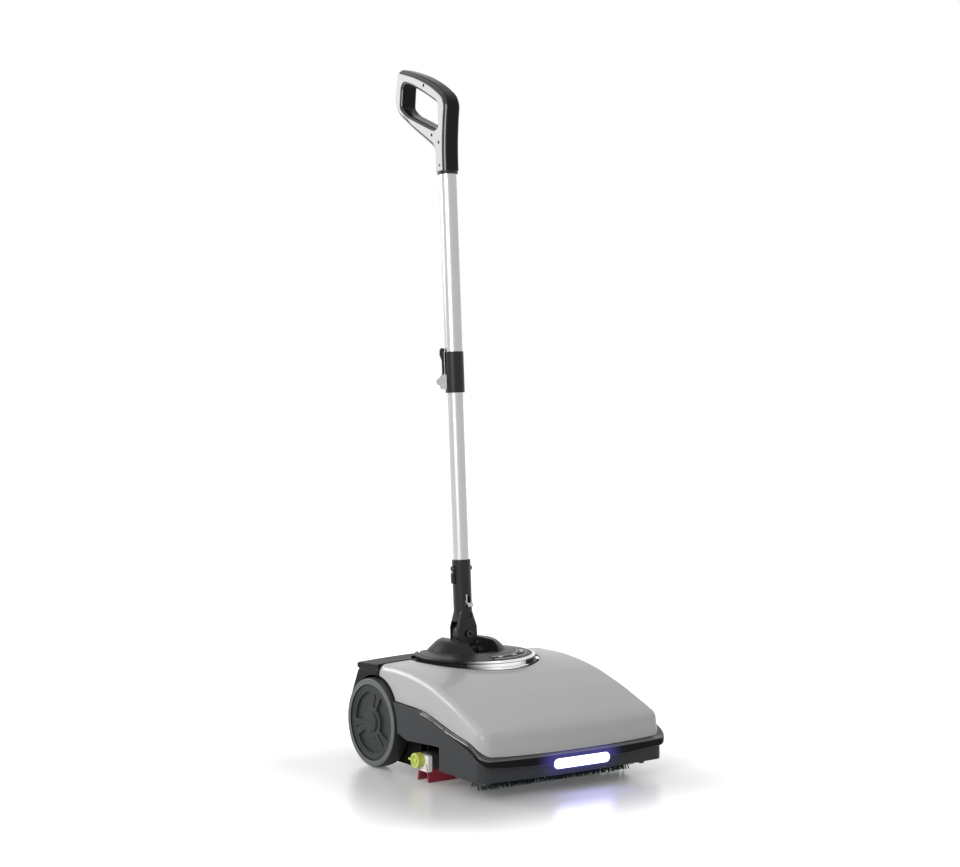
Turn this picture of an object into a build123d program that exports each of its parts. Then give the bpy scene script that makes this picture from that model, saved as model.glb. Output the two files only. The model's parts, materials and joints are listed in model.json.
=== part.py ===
from build123d import *
import math
import os

# Micro floor scrubber, all sizes in millimetres.
# Modelled with the handle's foot near Y = 0, the floor at Z = 0 and the front towards -Y.
# Every part is moved at the end so that the origin is under the middle of the whole object.

# Wheels and axle
WHEEL_R = 80.0
WHEEL_Y = 14.0
WHEEL_FACE_X = 196.0
WHEEL_W = 31.0
TYRE_THICK = 12.0
TYRE_CROWN = 2.0
TYRE_EDGE_R = 2.5
HUB_SINK = 3.0
HUB_WEB = 15.0
HUB_RIM = 8.0
HUB_BOSS_R = 17.0
HUB_BOSS_SINK = 0.5
HUB_COLLAR = 6.0
HUB_EDGE_R = 1.5
HUB_LIP_SINK = 2.0
HUB_POCKET_IN = 27.0
HUB_POCKET_OUT = 55.0
HUB_POCKET_DEG = 88.0
HUB_POCKET_DEEP = 4.0
HUB_GROOVE_W = 6.0
HUB_GROOVE_DEEP = 2.0
HUB_SPOKES = (-14.0, 106.0, 226.0)
AXLE_R = 8.0
AXLE_END_GAP = 3.0
AXLE_END_CLEAR = 0.4
ARCH_R = 84.5
ARCH_CLEAR = 1.0
RUN_FIT = 0.05

# Plan outline of the body: half width, front face, corner radius and bow of the front
SHELL_HALF_W = 194.0
SHELL_FRONT_Y = -342.0
STRIP_HALF_W = 200.0
STRIP_FRONT_Y = -348.0
HOOD_HALF_W = 196.0
HOOD_FRONT_Y = -340.0
SHELL_CORNER_R = 20.0
STRIP_CORNER_R = 22.0
HOOD_CORNER_R = 26.0
PLAN_BOW = 10.0
WALL = 3.0
SEAM_GAP = 0.8

# Hood: roof line in the side view, from the rear to the front
HOOD_ROOF = ((40, 188.5), (5, 189), (-40, 189.3), (-70, 188.3), (-100, 185.6), (-126, 182), (-150, 177.6),
             (-175, 171.8), (-209, 161), (-249, 147), (-288, 131), (-312, 120.5), (-328, 111), (-340, 101),
             (-352, 88))
HOOD_CROWN = 6.0
HOOD_CROWN_HALF = 183.0
HOOD_REAR_Y = 5.0
HOOD_FOOT_Z = 60.0
HOOD_BODY_H = 154.0
HOOD_RUN_OUT = 100.0
HOOD_DRAFT = 7.1
HOOD_SHOULDER_R = 15.0
HOOD_OPEN_R = 116.0
HOOD_FLARE_R = 124.0
HOOD_FLARE_LOW_R = 113.5
HOOD_FLARE_H = 22.0
HOOD_FLARE_Z = 185.0

# Seam under the hood and lower edge of the bumper strip, side view
SEAM = ((60, 128), (-60, 127.5), (-104, 125.5), (-141, 123.5), (-171, 118.5), (-207, 109.5),
        (-243, 101), (-271, 95.3), (-299, 89), (-315, 82), (-325, 75.5), (-333, 69.8), (-341, 67.5),
        (-360, 66.5))
STRIP_LOW = ((-150, 118), (-193, 109), (-236, 97), (-278, 85), (-306, 75),
             (-318, 69), (-329, 61.5), (-338, 53.5), (-346, 48.5), (-360, 46.5))
STRIP_START_Y = -150.0
STRIP_DEPTH = 12.0
STRIP_TOP_R = 3.6
STRIP_LOW_R = 1.8
SHELL_LOW_Z = 29.0
SHELL_REAR_Y = -40.0
SHELL_CUT_REAR = ((-60, 74), (-77, 73), (-102, 65.5), (-184, 70), (-203, 70))
SHELL_CUT_Y = -203.0

# Front light
LIGHT_Z = 50.0
LIGHT_HALF = 59.0
LIGHT_R = 8.5
LIGHT_BEZEL = 3.0
LIGHT_FRONT_Y = -350.0
LIGHT_DEPTH = 16.0
LENS_DEPTH = 5.0
LENS_PROUD = 1.5
LENS_EDGE_R = 1.2
LIGHT_BOARD_T = 1.6
LIGHT_BOARD_GAP = 1.0
LAMPS = 6
LAMP_PITCH = 16.0
LAMP_HALF = 2.0
LAMP_T = 1.5

# Control pod: low disc with a dome round the foot of the handle, sections as radius and height
POD_Y = -29.5
POD_REAR_Y = 42.0
POD_BASE_Z = 166.0
POD_CONE_OUT = (100.0, 194.5)
POD_CONE_IN = (60.0, 199.5)
POD_FOOT_R = 104.0
DOME_Y = -5.0
DOME = ((72, 197.5), (69, 200.5), (61, 208.5), (55, 213.5), (46, 217))
DOME_TOP_Z = 218.5
POD_WALL = 4.0
POD_SLOT_HALF = 28.4
POD_SLOT_FRONT_Y = -74.0
POD_SLOT_CORNER_R = 14.0
POD_TRAY_REAR_Y = -30.0
POD_TRAY_Z = 178.0
RIM_R = 110.0
RIM_LOW_Z = 189.0
RIM_BEAD_H = 5.0
RIM_FLANGE_R = 113.0
RIM_FLANGE_Z = 179.0
RIM_FLANGE_T = 3.5
RIM_FLANGE_EDGE = 1.0
RIM_FROM = -144.0
RIM_TO = 30.0
RIM_FLANGE_FROM = -132.0
RIM_FLANGE_TO = -66.0
PANEL_R_IN = 75.0
PANEL_R_OUT = 95.0
PANEL_FROM = -105.0
PANEL_TO = -15.0
PANEL_T = 0.8
PANEL_PROUD = 0.2
BUTTON_R = 5.0
BUTTON_RING_R = 85.0
BUTTON_ANGLES = (-92.0, -68.0, -44.0)
BUTTON_PROUD = 1.6
BUTTON_DEPTH = 6.0
BUTTON_GAP = 0.35
BUTTON_EDGE_R = 0.8

# Rear cover and its lid
REAR_HALF_W = 185.0
REAR_FRONT_Y = 8.0
REAR_TOP_Y = 73.0
REAR_TOP_Z = 167.0
REAR_TOP_FRONT_Z = 173.0
REAR_SIDE = ((REAR_FRONT_Y, 100), (REAR_FRONT_Y, REAR_TOP_FRONT_Z), (REAR_TOP_Y, REAR_TOP_Z),
             (94, 124), (97, 70), (92, 42), (30, 42), (30, 100))
REAR_INSIDE = ((-5, 200), (70.5, 200), (70.5, 166), (91, 123.5), (94, 70), (89, 45), (33, 45), (33, 80),
               (-5, 80))
REAR_FOOT_Z = 42.0
REAR_LID_FRONT_Y = 8.0
REAR_LID_REAR_Y = 76.0
REAR_LID_TOP_FRONT = 190.0
REAR_LID_TOP_REAR = 186.0
LID_STEP_X = 104.0
LID_SHELF_FRONT = 183.5
LID_SHELF_REAR = 177.5
REAR_LID_GAP = 0.6
REAR_LID_WALL = 3.0
LID_GROOVE_H = 3.2
LID_GROOVE_DEEP = 1.8
LID_EDGE_R = 2.5
LID_SHELF_EDGE_R = 1.5
LID_HINGE_X = 120.0
LID_HINGE_Y = 80.5
LID_HINGE_Z = 166.0
LID_HINGE_R = 4.0
LID_PIN_R = 2.0
LID_HINGE_LEN = 10.0
LID_HINGE_GAP = 0.4
LID_TAB_T = 2.4
LID_WEB_Y = 71.0
LID_WEB_TOP = 1.0
LID_WEB_LOW = 11.0
LID_POD_GAP = 3.0

# Chassis tray
CHASSIS_HALF_W = 191.0
CHASSIS_WALL = 5.0
CHASSIS_NARROW = 160.0
DECK_Z = 72.0
DECK_T = 4.0
FLOOR_Z = 34.0
FLOOR_T = 4.0
BULKHEAD_Y = -118.0
SHOULDER_Y = -92.0
CHASSIS_REAR_Y = 88.0
CHASSIS_SIDE_Z = 120.0
CHASSIS_SIDE = ((SHOULDER_Y, DECK_Z), (SHOULDER_Y, 114), (-150, 110), (-193, 101), (-236, 89), (-278, 77),
                (-300, 68), (-300, FLOOR_Z), (-206, FLOOR_Z), (-206, DECK_Z))
SHOULDER_T = 4.0
SHOULDER_TOP_Z = 112.0
NOSE_HALF = 40.0
NOSE_H = 6.0
SHELF_HALF = 150.0
SHELF_Y0 = 34.0
SHELF_Y1 = 86.0
CHEEK_T = 6.0
CHEEK_LOW_Z = 12.0
CHEEK_REAR_Y = 29.0
AXLE_BOSS_R = 15.0
AXLE_BOSS_IN = 12.0
AXLE_BOSS_OUT = 3.0
TANK_RESTS = (-150, -60, -20, 20, 40)
REST_HALF = 6.0
REST_Y0 = -180.0
REST_Y1 = -110.0
STAND_IN = 6.0
STAND_R = 3.0

# Roller brush
BRUSH_Y = -262.0
BRUSH_R = 46.0
BRUSH_HALF = 160.0
BRUSH_CORE_R = 21.0
BRUSH_SLEEVE_R = 22.5
JOURNAL_R = 7.0
JOURNAL_OUT = 9.0
JOURNAL_PROUD = 1.0
BRISTLE_ROWS = 16
BRISTLE_PER_ROW = 25
BRISTLE_W = 3.0
BRISTLE_TIP_W = 2.0
BRISTLE_REACH = 45.95
BRISTLE_TWIST = 40.0
BRUSH_ARCH_R = 52.0
BRUSH_ARCH_HALF = 171.0
END_PLATE_X = 164.0
END_PLATE_T = 6.0
END_PLATE_LOW_Z = 18.0
BRUSH_PULLEY_R = 22.0
PULLEY_X0 = 172.0
PULLEY_X1 = 182.0
PULLEY_LIP = 2.0
BELT_T = 1.8
BELT_GAP = 0.3
BELT_SLOT = 30.0

# Drive motor, fan, pump, battery and tanks inside the tray
MOTOR_Y = -150.0
MOTOR_Z = 103.0
MOTOR_R = 22.0
MOTOR_X0 = 70.0
MOTOR_X1 = 162.0
MOTOR_FOOT = 14.0
MOTOR_FOOT_IN = 8.0
MOTOR_EDGE_R = 2.0
MOTOR_BOSS = 5.0
MOTOR_PULLEY_R = 12.0
SHAFT_R = 4.0
SHAFT_IN = 30.0
FAN_X = -96.0
FAN_Y = -46.0
FAN_Z0 = 100.0
FAN_R = 30.0
FAN_CASE_R = 37.0
FAN_CASE_H = 40.0
FAN_WALL = 3.0
FAN_EDGE_R = 3.0
FAN_TIP_GAP = 3.0
FAN_ROOM = 16.0
FAN_SHAFT_ROOM = 4.0
FAN_SHAFT_LOW = 6.0
FAN_DISC = 18.0
FAN_DISC_T = 2.0
FAN_VANE_IN = 8.0
FAN_VANE_TOP = 32.0
FAN_PORT_HALF = 6.0
FAN_PORT_LOW = 20.0
FAN_PORT_TOP = 30.0
FAN_BLADES = 9
FAN_BLADE_T = 2.0
FAN_LEG = 5.0
FAN_LEGS = (45, 135, 225, 315)
VAC_PIPE_R = 9.0
VAC_PIPE_WALL = 2.0
VAC_PORT = 10.0
VAC_PIPE_Z = 152.0
VAC_PIPE_X = 30.0
PUMP_X = -44.0
PUMP_Y = -70.0
PUMP_R = 16.0
PUMP_TOP_Z = 84.0
PUMP_EDGE_R = 3.0
PUMP_PORT_R = 6.0
PUMP_PORT_H = 6.0
FEED_R = 3.0
FEED_Z = 65.0
FEED_IN = 4.0
FEED_RISE = 9.0
TANK_REAR_Y = -98.0
TANK_SIDE = ((-198, 78), (-198, 142), (-150, 156), (-98, 162), (-98, 78))
TANK_SKIN = 2.5
TANK_OUT_X = 170.0
TANK_MID_GAP = 2.0
TANK_STEP_X = 64.0
TANK_STEP_Z = 130.0
CAP_X = -120.0
CAP_Y = -130.0
CAP_Z = 165.0
CAP_R = 12.0
CAP_NECK = 3.0
CAP_NECK_H = 12.0
CAP_PLUG_H = 10.0
CAP_LIP = 4.0
CAP_T = 3.0
SUCTION_X = 33.0
SUCTION_R = 12.0
SUCTION_BORE = 9.6
SUCTION_LOW_Z = 60.0
BATTERY_HALF_X = 105.0
BATTERY_Y0 = 40.0
BATTERY_Y1 = 80.0
BATTERY_Z1 = 118.0
BATTERY_EDGE_R = 4.0
BATTERY_GRIP_HALF = 30.0
BATTERY_GRIP_Y0 = 48.0
BATTERY_GRIP_Y1 = 56.0
BATTERY_GRIP_H = 6.0
BOARD_X0 = 50.0
BOARD_X1 = 145.0
BOARD_Y0 = -80.0
BOARD_Y1 = -20.0
BOARD_Z = 58.0
BOARD_T = 2.0
CHIPS_X = (62, 84, 106, 128)
CHIP_HALF = 7.0
CHIP_Y0 = -70.0
CHIP_Y1 = -46.0
CHIP_H = 9.0
INLET_X = -110.0
INLET_Z = 96.0
INLET_R = 11.0
INLET_Y0 = 80.0
INLET_Y1 = 100.0
INLET_FLANGE = 3.0
INLET_FLANGE_T = 2.5
INLET_BORE_R = 8.0
INLET_BORE_DEEP = 12.0
TOWER_X0 = 60.0
TOWER_X1 = 68.0
TOWER_Y0 = -10.0
TOWER_Y1 = 28.0

# Squeegee
SQ_HALF_W = 187.0
SQ_BLADE_HALF = 187.0
SQ_Y0 = -159.0
SQ_Y1 = -129.0
SQ_Z0 = 24.0
SQ_Z1 = 50.0
SQ_EDGE_R = 4.0
SQ_END_T = 8.0
SQ_END_OUT = 1.0
SQ_END_LOW = 6.0
SQ_END_TOP = 4.0
SQ_END_EDGE_R = 2.0
SQ_BLADE_T = 3.0
SQ_BLADE_TOP = 32.0
SQ_FLOOR_GAP = 0.8
SQ_BLADE_IN = 3.0
SQ_BLADE_LEAN = 7.0
SQ_FRONT_LEAN = 1.0
SQ_POST_X = 120.0
SQ_POST_R = 6.0
SQ_POST_LOW_Z = 30.0
SQ_POST_GAP = 0.35
NOZZLE_GAP = 0.6
NOZZLE_WALL = 2.0
NOZZLE_ROOT = 5.0
NOZZLE_H = 16.0
KNOB_R = 13.0
KNOB_T = 13.0
KNOB_Y = -136.0
KNOB_Z = 37.0
KNOB_GAP = 0.4
KNOB_RIM = 4.0
KNOB_DISH = 2.0
KNOB_TAB = 9.0
KNOB_TAB_IN = 1.5
KNOB_TAB_OUT = 1.0
KNOB_TAB_HALF = 1.6
KNOB_STUD_R = 4.0
KNOB_STUD_IN = 2.0
KNOB_STUD_SINK = 0.5

# Handle: pivot, lean and stations measured along the tube from the pivot
PIVOT_Y = 4.0
PIVOT_Z = 190.0
LEAN = 3.5
TILT_PIN_R = 6.0
BARREL_R = 15.0
BARREL_HALF = 23.0
BRACKET_X = 24.0
BRACKET_T = 4.0
BRACKET_HALF_Y = 20.0
BRACKET_FOOT = 24.0
BRACKET_TIE_Z = 130.0
SWIVEL_L = 35.0
SWIVEL_LIMIT = 30.0
TONGUE_HALF = 20.0
TONGUE_HALF_Y = 9.0
FORK_HALF = 22.0
FORK_HALF_Y = 16.0
FORK_GAP = 0.4
FORK_ROOT_L = 58.0
FORK_SHOULDER_L = 47.0
FORK_WAIST_L = 76.0
SWIVEL_R = 5.0
BOLT_HEAD_R = 6.5
BOLT_HEAD_T = 4.0
BOLT_FLOOR = 1.0
NUT_R = 7.5
SLEEVE_R = 17.0
SLEEVE_FOOT_L = 76.0
SLEEVE_TOP_L = 170.0
LOWER_TUBE_R = 14.0
LOWER_TUBE_WALL = 1.8
LOWER_TUBE_L0 = 104.0
LOWER_TUBE_L1 = 610.0
UPPER_TUBE_R = 16.0
TELESCOPE_FIT = 0.1
GRIP_SOCKET = 45.0
SLEEVE_BOLT_L = 154.0
SLEEVE_BOLT_R = 3.0
SLEEVE_BOLT_SEAT = 0.5
SLEEVE_HEAD_R = 5.0
SLEEVE_HEAD_T = 4.0
SLEEVE_NUT_R = 4.6
SLEEVE_NUT_T = 3.5
LATCH_HALF = 5.0
LATCH_Y0 = -8.0
LATCH_Y1 = -5.0
LATCH_L0 = 50.0
LATCH_L1 = 96.0
LATCH_TAB_L = 89.0
LATCH_TAB_T = 3.0
LATCH_TAB_Y = -27.0
LATCH_LIP = 4.0
LATCH_LIP_T = 2.0
LATCH_PRONG_X = 2.5
LATCH_PRONG_Y = -19.6
LATCH_PRONG_L = 107.0
LATCH_GAP = 0.4
LATCH_WINDOW_L0 = 84.0
LATCH_WINDOW_L1 = 103.0
POCKET_HALF = 9.0
POCKET_DEEP = 4.0
POCKET_L0 = 63.0
POCKET_L1 = 74.0
CLIP_L0 = 126.0
CLIP_L1 = 148.0
CLIP_OUT = 5.0
CLIP_EDGE_R = 4.0
CLIP_HALF = 3.0
CLIP_T = 4.0
FORK_CORNER_R = 6.0

# Tube clamp and quick-release lever
CLAMP_L0 = 475.0
CLAMP_LEN = 75.0
CLAMP_R = 17.5
CLAMP_EDGE_R = 1.2
CLAMP_SLIT = 1.6
CLAMP_TURN = -32.0
CLAMP_GRASP = 60.0
EAR_X = -20.5
EAR_UP = 9.0
EAR_LEN = 15.0
CAM_UP = 21.0
CAM_X = -27.2
CAM_PLATE_T = 2.5
CAM_PLATE_UP = 7.0
CAM_PLATE_LEN = 26.0
CAM_HALF_GAP = 6.0
CAM_TIP_R = 5.5
CAM_EYE_R = 6.0
CAM_PIN_R = 3.0
CAM_HEAD_T = 1.5
LEVER_SIDE_GAP = 0.4
LEVER_SIDE = ((-24.5, 3), (-22.8, 16), (-22.8, 38), (-26.5, 49), (-26, 58), (-23.5, 61), (-18.5, 61),
              (-16.8, 58), (-16.8, 56), (-18.3, 53.5), (-18.2, 16), (-21.4, 3))

# Grip: outline of the D in the plane of the handle, from the stem round the loop
GRIP_L0 = 880.0
GRIP_HALF_X = 17.5
GRIP_EDGE_R = 10.0
GRIP_HOLE_EDGE_R = 7.0
GRIP_CORNER_R = 13.0
GRIP_SHARP_TURN = 45.0
GRIP_EASE = 0.48
GRIP_OUT = ((-17.5, 0), (-18, 45), (-24, 94), (-29, 118), (-20, 138), (13, 161), (56, 182), (100, 197),
            (132, 206), (147, 147), (137, 121), (91, 88), (45, 60), (17.5, 42), (17.5, 0))
GRIP_HOLE = ((3, 124), (50, 150), (86, 167), (114, 175), (121, 132), (104, 117), (30, 85), (3, 75))
GRIP_HOLE_R = 9.0
COLLAR_LEN = 6.0
COLLAR_R = 19.0
COLLAR_EDGE_R = 1.5
GRIP_SCREWS = ((43, 162), (111, 111), (22, 68), (0, 52), (0, 10))
SCREW_HEAD_R = 3.0
SCREW_SINK = 2.5
SCREW_SKIN = 0.2
SCREW_HEAD_T = 1.2
SCREW_LEN = 14.0

# Cutting bodies reach past the face they open, and these sizes are larger than the machine
CUT = 1.0
PAST = 30.0
WIDE = 400.0
TALL = 400.0
HANDLE_TALL = 1600.0
EDGE_TOL = 0.1

PARTS = {}


def box(x0, x1, y0, y1, z0, z1):
    """Block between two opposite corners."""
    return Pos((x0 + x1) / 2, (y0 + y1) / 2, (z0 + z1) / 2) * Box(x1 - x0, y1 - y0, z1 - z0)


def rod_x(radius, x0, x1, y, z):
    """Round bar across the machine."""
    return Pos((x0 + x1) / 2, y, z) * Rot(Y=90) * Cylinder(radius, x1 - x0)


def rod_y(radius, y0, y1, x, z):
    """Round bar along the machine."""
    return Pos(x, (y0 + y1) / 2, z) * Rot(X=90) * Cylinder(radius, y1 - y0)


def rod_z(radius, z0, z1, x=0.0, y=0.0):
    """Upright round bar."""
    return Pos(x, y, (z0 + z1) / 2) * Cylinder(radius, z1 - z0)


def side_prism(points, x0, x1):
    """Straight-sided outline in the side view (Y, Z) drawn out across the machine."""
    face = make_face(Polyline(*points, close=True))
    return Pos(x0, 0, 0) * extrude(Plane.YZ * face, x1 - x0, dir=(1, 0, 0))


def front_prism(points, y0, y1):
    """Straight-sided outline in the front view (X, Z) drawn out along the machine."""
    face = make_face(Polyline(*[(x, -z) for x, z in points], close=True))
    turned = Rot(X=-90) * face
    return Pos(0, y0, 0) * extrude(turned, y1 - y0, dir=(0, 1, 0))


def under_curve(points, floor_z, half_w):
    """Everything below a smooth line given in the side view."""
    first = points[0]
    last = points[-1]
    edge = Spline(*points)
    rest = Polyline(last, (last[0], floor_z), (first[0], floor_z), first)
    face = make_face([edge, rest])
    return Pos(-half_w, 0, 0) * extrude(Plane.YZ * face, 2 * half_w, dir=(1, 0, 0))


def plan_face(half_w, front_y, corner_r, rear_y):
    """Plan outline of the body with a bowed front and two rounded corners."""
    side_y = front_y + PLAN_BOW
    left = (-half_w, rear_y)
    right = (half_w, rear_y)
    edges = [
        Line(left, (-half_w, side_y)),
        ThreePointArc((-half_w, side_y), (0, front_y), (half_w, side_y)),
        Line((half_w, side_y), right),
        Line(right, left),
    ]
    face = make_face(edges)
    corners = face.vertices().sort_by(Axis.Y)[:2]
    return fillet(corners, corner_r)


def plan_prism(half_w, front_y, corner_r, rear_y, z0, z1):
    """The plan outline drawn straight up."""
    face = plan_face(half_w, front_y, corner_r, rear_y)
    return Pos(0, 0, z0) * extrude(face, z1 - z0, dir=(0, 0, 1))


def ring_of(profile, y=0.0):
    """Solid of revolution about an upright axis from a radius and height outline."""
    face = make_face(Polyline(*profile, close=True))
    return Pos(0, y, 0) * revolve(Plane.XZ * face, Axis.Z)


def sector(r_in, r_out, turn, spread, z0, z1):
    """Part of a flat ring, as wide as the given angle."""
    face = make_face(Polyline((r_in, z0), (r_out, z0), (r_out, z1), (r_in, z1), close=True))
    return Rot(Z=turn - spread / 2) * revolve(Plane.XZ * face, Axis.Z, spread)


def tube_z(outer, inner, z0, z1):
    """Upright tube."""
    return rod_z(outer, z0, z1) - rod_z(inner, z0 - CUT, z1 + CUT)


def mirrored(shape):
    """The same piece on the other side of the machine."""
    return mirror(shape, Plane.YZ)


def single(shape):
    """Plain solid or compound of one part."""
    solids = shape.solids()
    if len(solids) == 1:
        return solids[0]
    return Compound(list(solids))


def keep(name, shape):
    """Remember a part of the base, already in its place."""
    PARTS[name] = single(shape)


def keep_handle(name, shape):
    """Remember a part of the handle, modelled upright on the pivot and then leaned back."""
    PARTS[name] = single(Pos(0, PIVOT_Y, PIVOT_Z) * Rot(X=-LEAN) * shape)


ARCHES = rod_x(ARCH_R, CHASSIS_NARROW + ARCH_CLEAR, WIDE, WHEEL_Y, WHEEL_R)
ARCHES += mirrored(ARCHES)


# Hood: one moulded shell, open below, with a round opening for the control pod
def under_roof(points):
    """Everything below a roof line that is arched across the machine."""
    half = HOOD_HALF_W
    sag = HOOD_CROWN * (half / HOOD_CROWN_HALF) ** 2
    slices = []
    for y, z in points:
        arch = ThreePointArc((-half, z - sag), (0, z), (half, z - sag))
        rest = Polyline((half, z - sag), (half, 0), (-half, 0), (-half, z - sag))
        across = Plane(origin=(0, y, 0), x_dir=(1, 0, 0), z_dir=(0, -1, 0))
        slices.append(across * make_face([arch, rest]))
    return loft(slices)


def hood_block(inset, rear_y):
    """Drafted body of the hood, or the same body drawn in by the wall."""
    half_w = HOOD_HALF_W - inset
    front_y = HOOD_FRONT_Y + inset
    face = plan_face(half_w, front_y, HOOD_CORNER_R - inset, rear_y + HOOD_RUN_OUT)
    body = Pos(0, 0, HOOD_FOOT_Z) * extrude(face, HOOD_BODY_H, dir=(0, 0, 1), taper=HOOD_DRAFT)
    body = body & box(-WIDE, WIDE, -WIDE, rear_y, 0, TALL)
    roof = tuple((y, z - inset) for y, z in HOOD_ROOF)
    body = body & under_roof(roof)
    top = body.faces().sort_by(lambda f: f.center().Z)[-1]
    edges = [e for e in top.edges() if e.center().Y < rear_y - CUT]
    return fillet(edges, HOOD_SHOULDER_R - inset)


def make_hood():
    shell = hood_block(0, HOOD_REAR_Y) - hood_block(WALL, HOOD_REAR_Y + PAST)
    seam = tuple((y, z + SEAM_GAP / 2) for y, z in SEAM)
    shell -= under_curve(seam, 0, WIDE)
    shell -= ARCHES
    flare = Pos(0, POD_Y, HOOD_FLARE_Z) * Cone(HOOD_FLARE_LOW_R, HOOD_FLARE_R, HOOD_FLARE_H)
    opening = rod_z(HOOD_OPEN_R, HOOD_FOOT_Z, TALL, 0, POD_Y)
    opening += box(-HOOD_OPEN_R, HOOD_OPEN_R, POD_Y, HOOD_REAR_Y + PAST, HOOD_FOOT_Z, TALL)
    return shell - opening - flare


keep("hood", make_hood())


# Lower shell: side panels and front skirt in one moulding
def make_lower_shell():
    outer = plan_prism(SHELL_HALF_W, SHELL_FRONT_Y, SHELL_CORNER_R, SHELL_REAR_Y, SHELL_LOW_Z, TALL)
    inner = plan_prism(SHELL_HALF_W - WALL, SHELL_FRONT_Y + WALL, SHELL_CORNER_R - WALL, 0, 0, TALL)
    wall = outer - inner
    seam = tuple((y, z - SEAM_GAP / 2) for y, z in SEAM)
    wall = wall & under_curve(seam, 0, WIDE)
    band = box(-WIDE, WIDE, -WIDE, STRIP_START_Y, 0, TALL)
    wall -= band - under_curve(STRIP_LOW, 0, WIDE)
    wall -= ARCHES
    cut = SHELL_CUT_REAR + ((SHELL_CUT_Y, 0), (0, 0), (0, SHELL_CUT_REAR[0][1]))
    return wall - side_prism(cut, -WIDE, WIDE)


# Bumper strip: glossy bead between the hood and the lower shell
def make_strip():
    outer = plan_prism(STRIP_HALF_W, STRIP_FRONT_Y, STRIP_CORNER_R, STRIP_START_Y, 0, TALL)
    inner = plan_prism(STRIP_HALF_W - STRIP_DEPTH, STRIP_FRONT_Y + STRIP_DEPTH, STRIP_CORNER_R - STRIP_DEPTH,
                       0, 0, TALL)
    seam = tuple((y, z - SEAM_GAP / 2) for y, z in SEAM)
    body = (outer & under_curve(seam, 0, WIDE)) - under_curve(STRIP_LOW, 0, WIDE)
    for side, radius in ((-1, STRIP_TOP_R), (0, STRIP_LOW_R)):
        broad = body.faces().sort_by(SortBy.AREA)[-2:].sort_by(lambda f: f.center().Z)
        body = fillet([e for e in broad[side].edges() if e.center().Y < STRIP_START_Y - CUT], radius)
    return body - inner


def stadium(half, radius, y0, y1):
    """Bar with round ends lying across the front."""
    middle = box(-half + radius, half - radius, y0, y1, LIGHT_Z - radius, LIGHT_Z + radius)
    ends = rod_y(radius, y0, y1, -half + radius, LIGHT_Z) + rod_y(radius, y0, y1, half - radius, LIGHT_Z)
    return middle + ends


BEZEL_HALF = LIGHT_HALF + LIGHT_BEZEL
BEZEL_R = LIGHT_R + LIGHT_BEZEL
LIGHT_BACK_Y = LIGHT_FRONT_Y + LIGHT_DEPTH
light_space = stadium(BEZEL_HALF, BEZEL_R, LIGHT_FRONT_Y - PAST, LIGHT_BACK_Y + PAST)
keep("lower_shell", make_lower_shell() - light_space)
keep("bumper_strip", make_strip() - light_space)
light_housing = stadium(BEZEL_HALF, BEZEL_R, LIGHT_FRONT_Y, LIGHT_BACK_Y)
light_housing -= stadium(LIGHT_HALF, LIGHT_R, LIGHT_FRONT_Y - CUT, LIGHT_BACK_Y - WALL)
keep("light_housing", light_housing)
lens = stadium(LIGHT_HALF, LIGHT_R, LIGHT_FRONT_Y - LENS_PROUD, LIGHT_FRONT_Y + LENS_DEPTH)
keep("light_lens", fillet(lens.edges().group_by(Axis.Y)[0], LENS_EDGE_R))
board_y = LIGHT_BACK_Y - WALL - LIGHT_BOARD_T
board_h = LIGHT_R - LIGHT_BOARD_GAP
light_board = box(-LIGHT_HALF + LIGHT_R, LIGHT_HALF - LIGHT_R, board_y, LIGHT_BACK_Y - WALL,
                  LIGHT_Z - board_h, LIGHT_Z + board_h)
for lamp in range(LAMPS):
    lamp_x = (lamp - (LAMPS - 1) / 2) * LAMP_PITCH
    light_board += box(lamp_x - LAMP_HALF, lamp_x + LAMP_HALF, board_y - LAMP_T, board_y,
                       LIGHT_Z - LAMP_HALF, LIGHT_Z + LAMP_HALF)
keep("light_board", light_board)


# Control pod: round housing with a dome that the handle's slot runs through
def pod_solid(inset):
    """Outer form of the pod, or the same form drawn in by the wall."""
    cone_out = (POD_CONE_OUT[0] - inset, POD_CONE_OUT[1] - inset)
    cone_in = (POD_CONE_IN[0] - inset, POD_CONE_IN[1] - inset)
    foot_r = POD_FOOT_R - inset
    low = POD_BASE_Z - inset
    shoulder = cone_out[1] - foot_r + cone_out[0]
    disc = ring_of(((0, low), (foot_r, low), (foot_r, shoulder), cone_out, cone_in, (0, cone_in[1])), POD_Y)
    dome = tuple((r - inset, z - inset) for r, z in DOME)
    flank = Spline(*dome)
    foot = low + POD_WALL
    rest = Polyline(dome[-1], (0, DOME_TOP_Z - inset), (0, foot), (dome[0][0], foot), dome[0])
    return disc + Pos(0, DOME_Y, 0) * revolve(Plane.XZ * make_face([flank, rest]), Axis.Z)


def pod_slope():
    """Height of the sloping face at a radius, and its slope in degrees."""
    run = POD_CONE_OUT[0] - POD_CONE_IN[0]
    rise = POD_CONE_IN[1] - POD_CONE_OUT[1]
    return lambda r: POD_CONE_OUT[1] + (POD_CONE_OUT[0] - r) * rise / run, math.degrees(math.atan2(rise, run))


FACE_Z, FACE_SLOPE = pod_slope()


def pod_spot(angle, radius):
    """Place on the sloping face of the pod, with its upward direction square to the face."""
    return Pos(0, POD_Y, 0) * Rot(Z=angle) * Pos(radius, 0, FACE_Z(radius)) * Rot(Y=FACE_SLOPE)


BEHIND_POD = box(-WIDE, WIDE, POD_REAR_Y, WIDE, 0, TALL)
TOWERS = box(TOWER_X0, TOWER_X1, TOWER_Y0, TOWER_Y1, FLOOR_Z, TALL)
TOWERS += mirrored(TOWERS)


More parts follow.
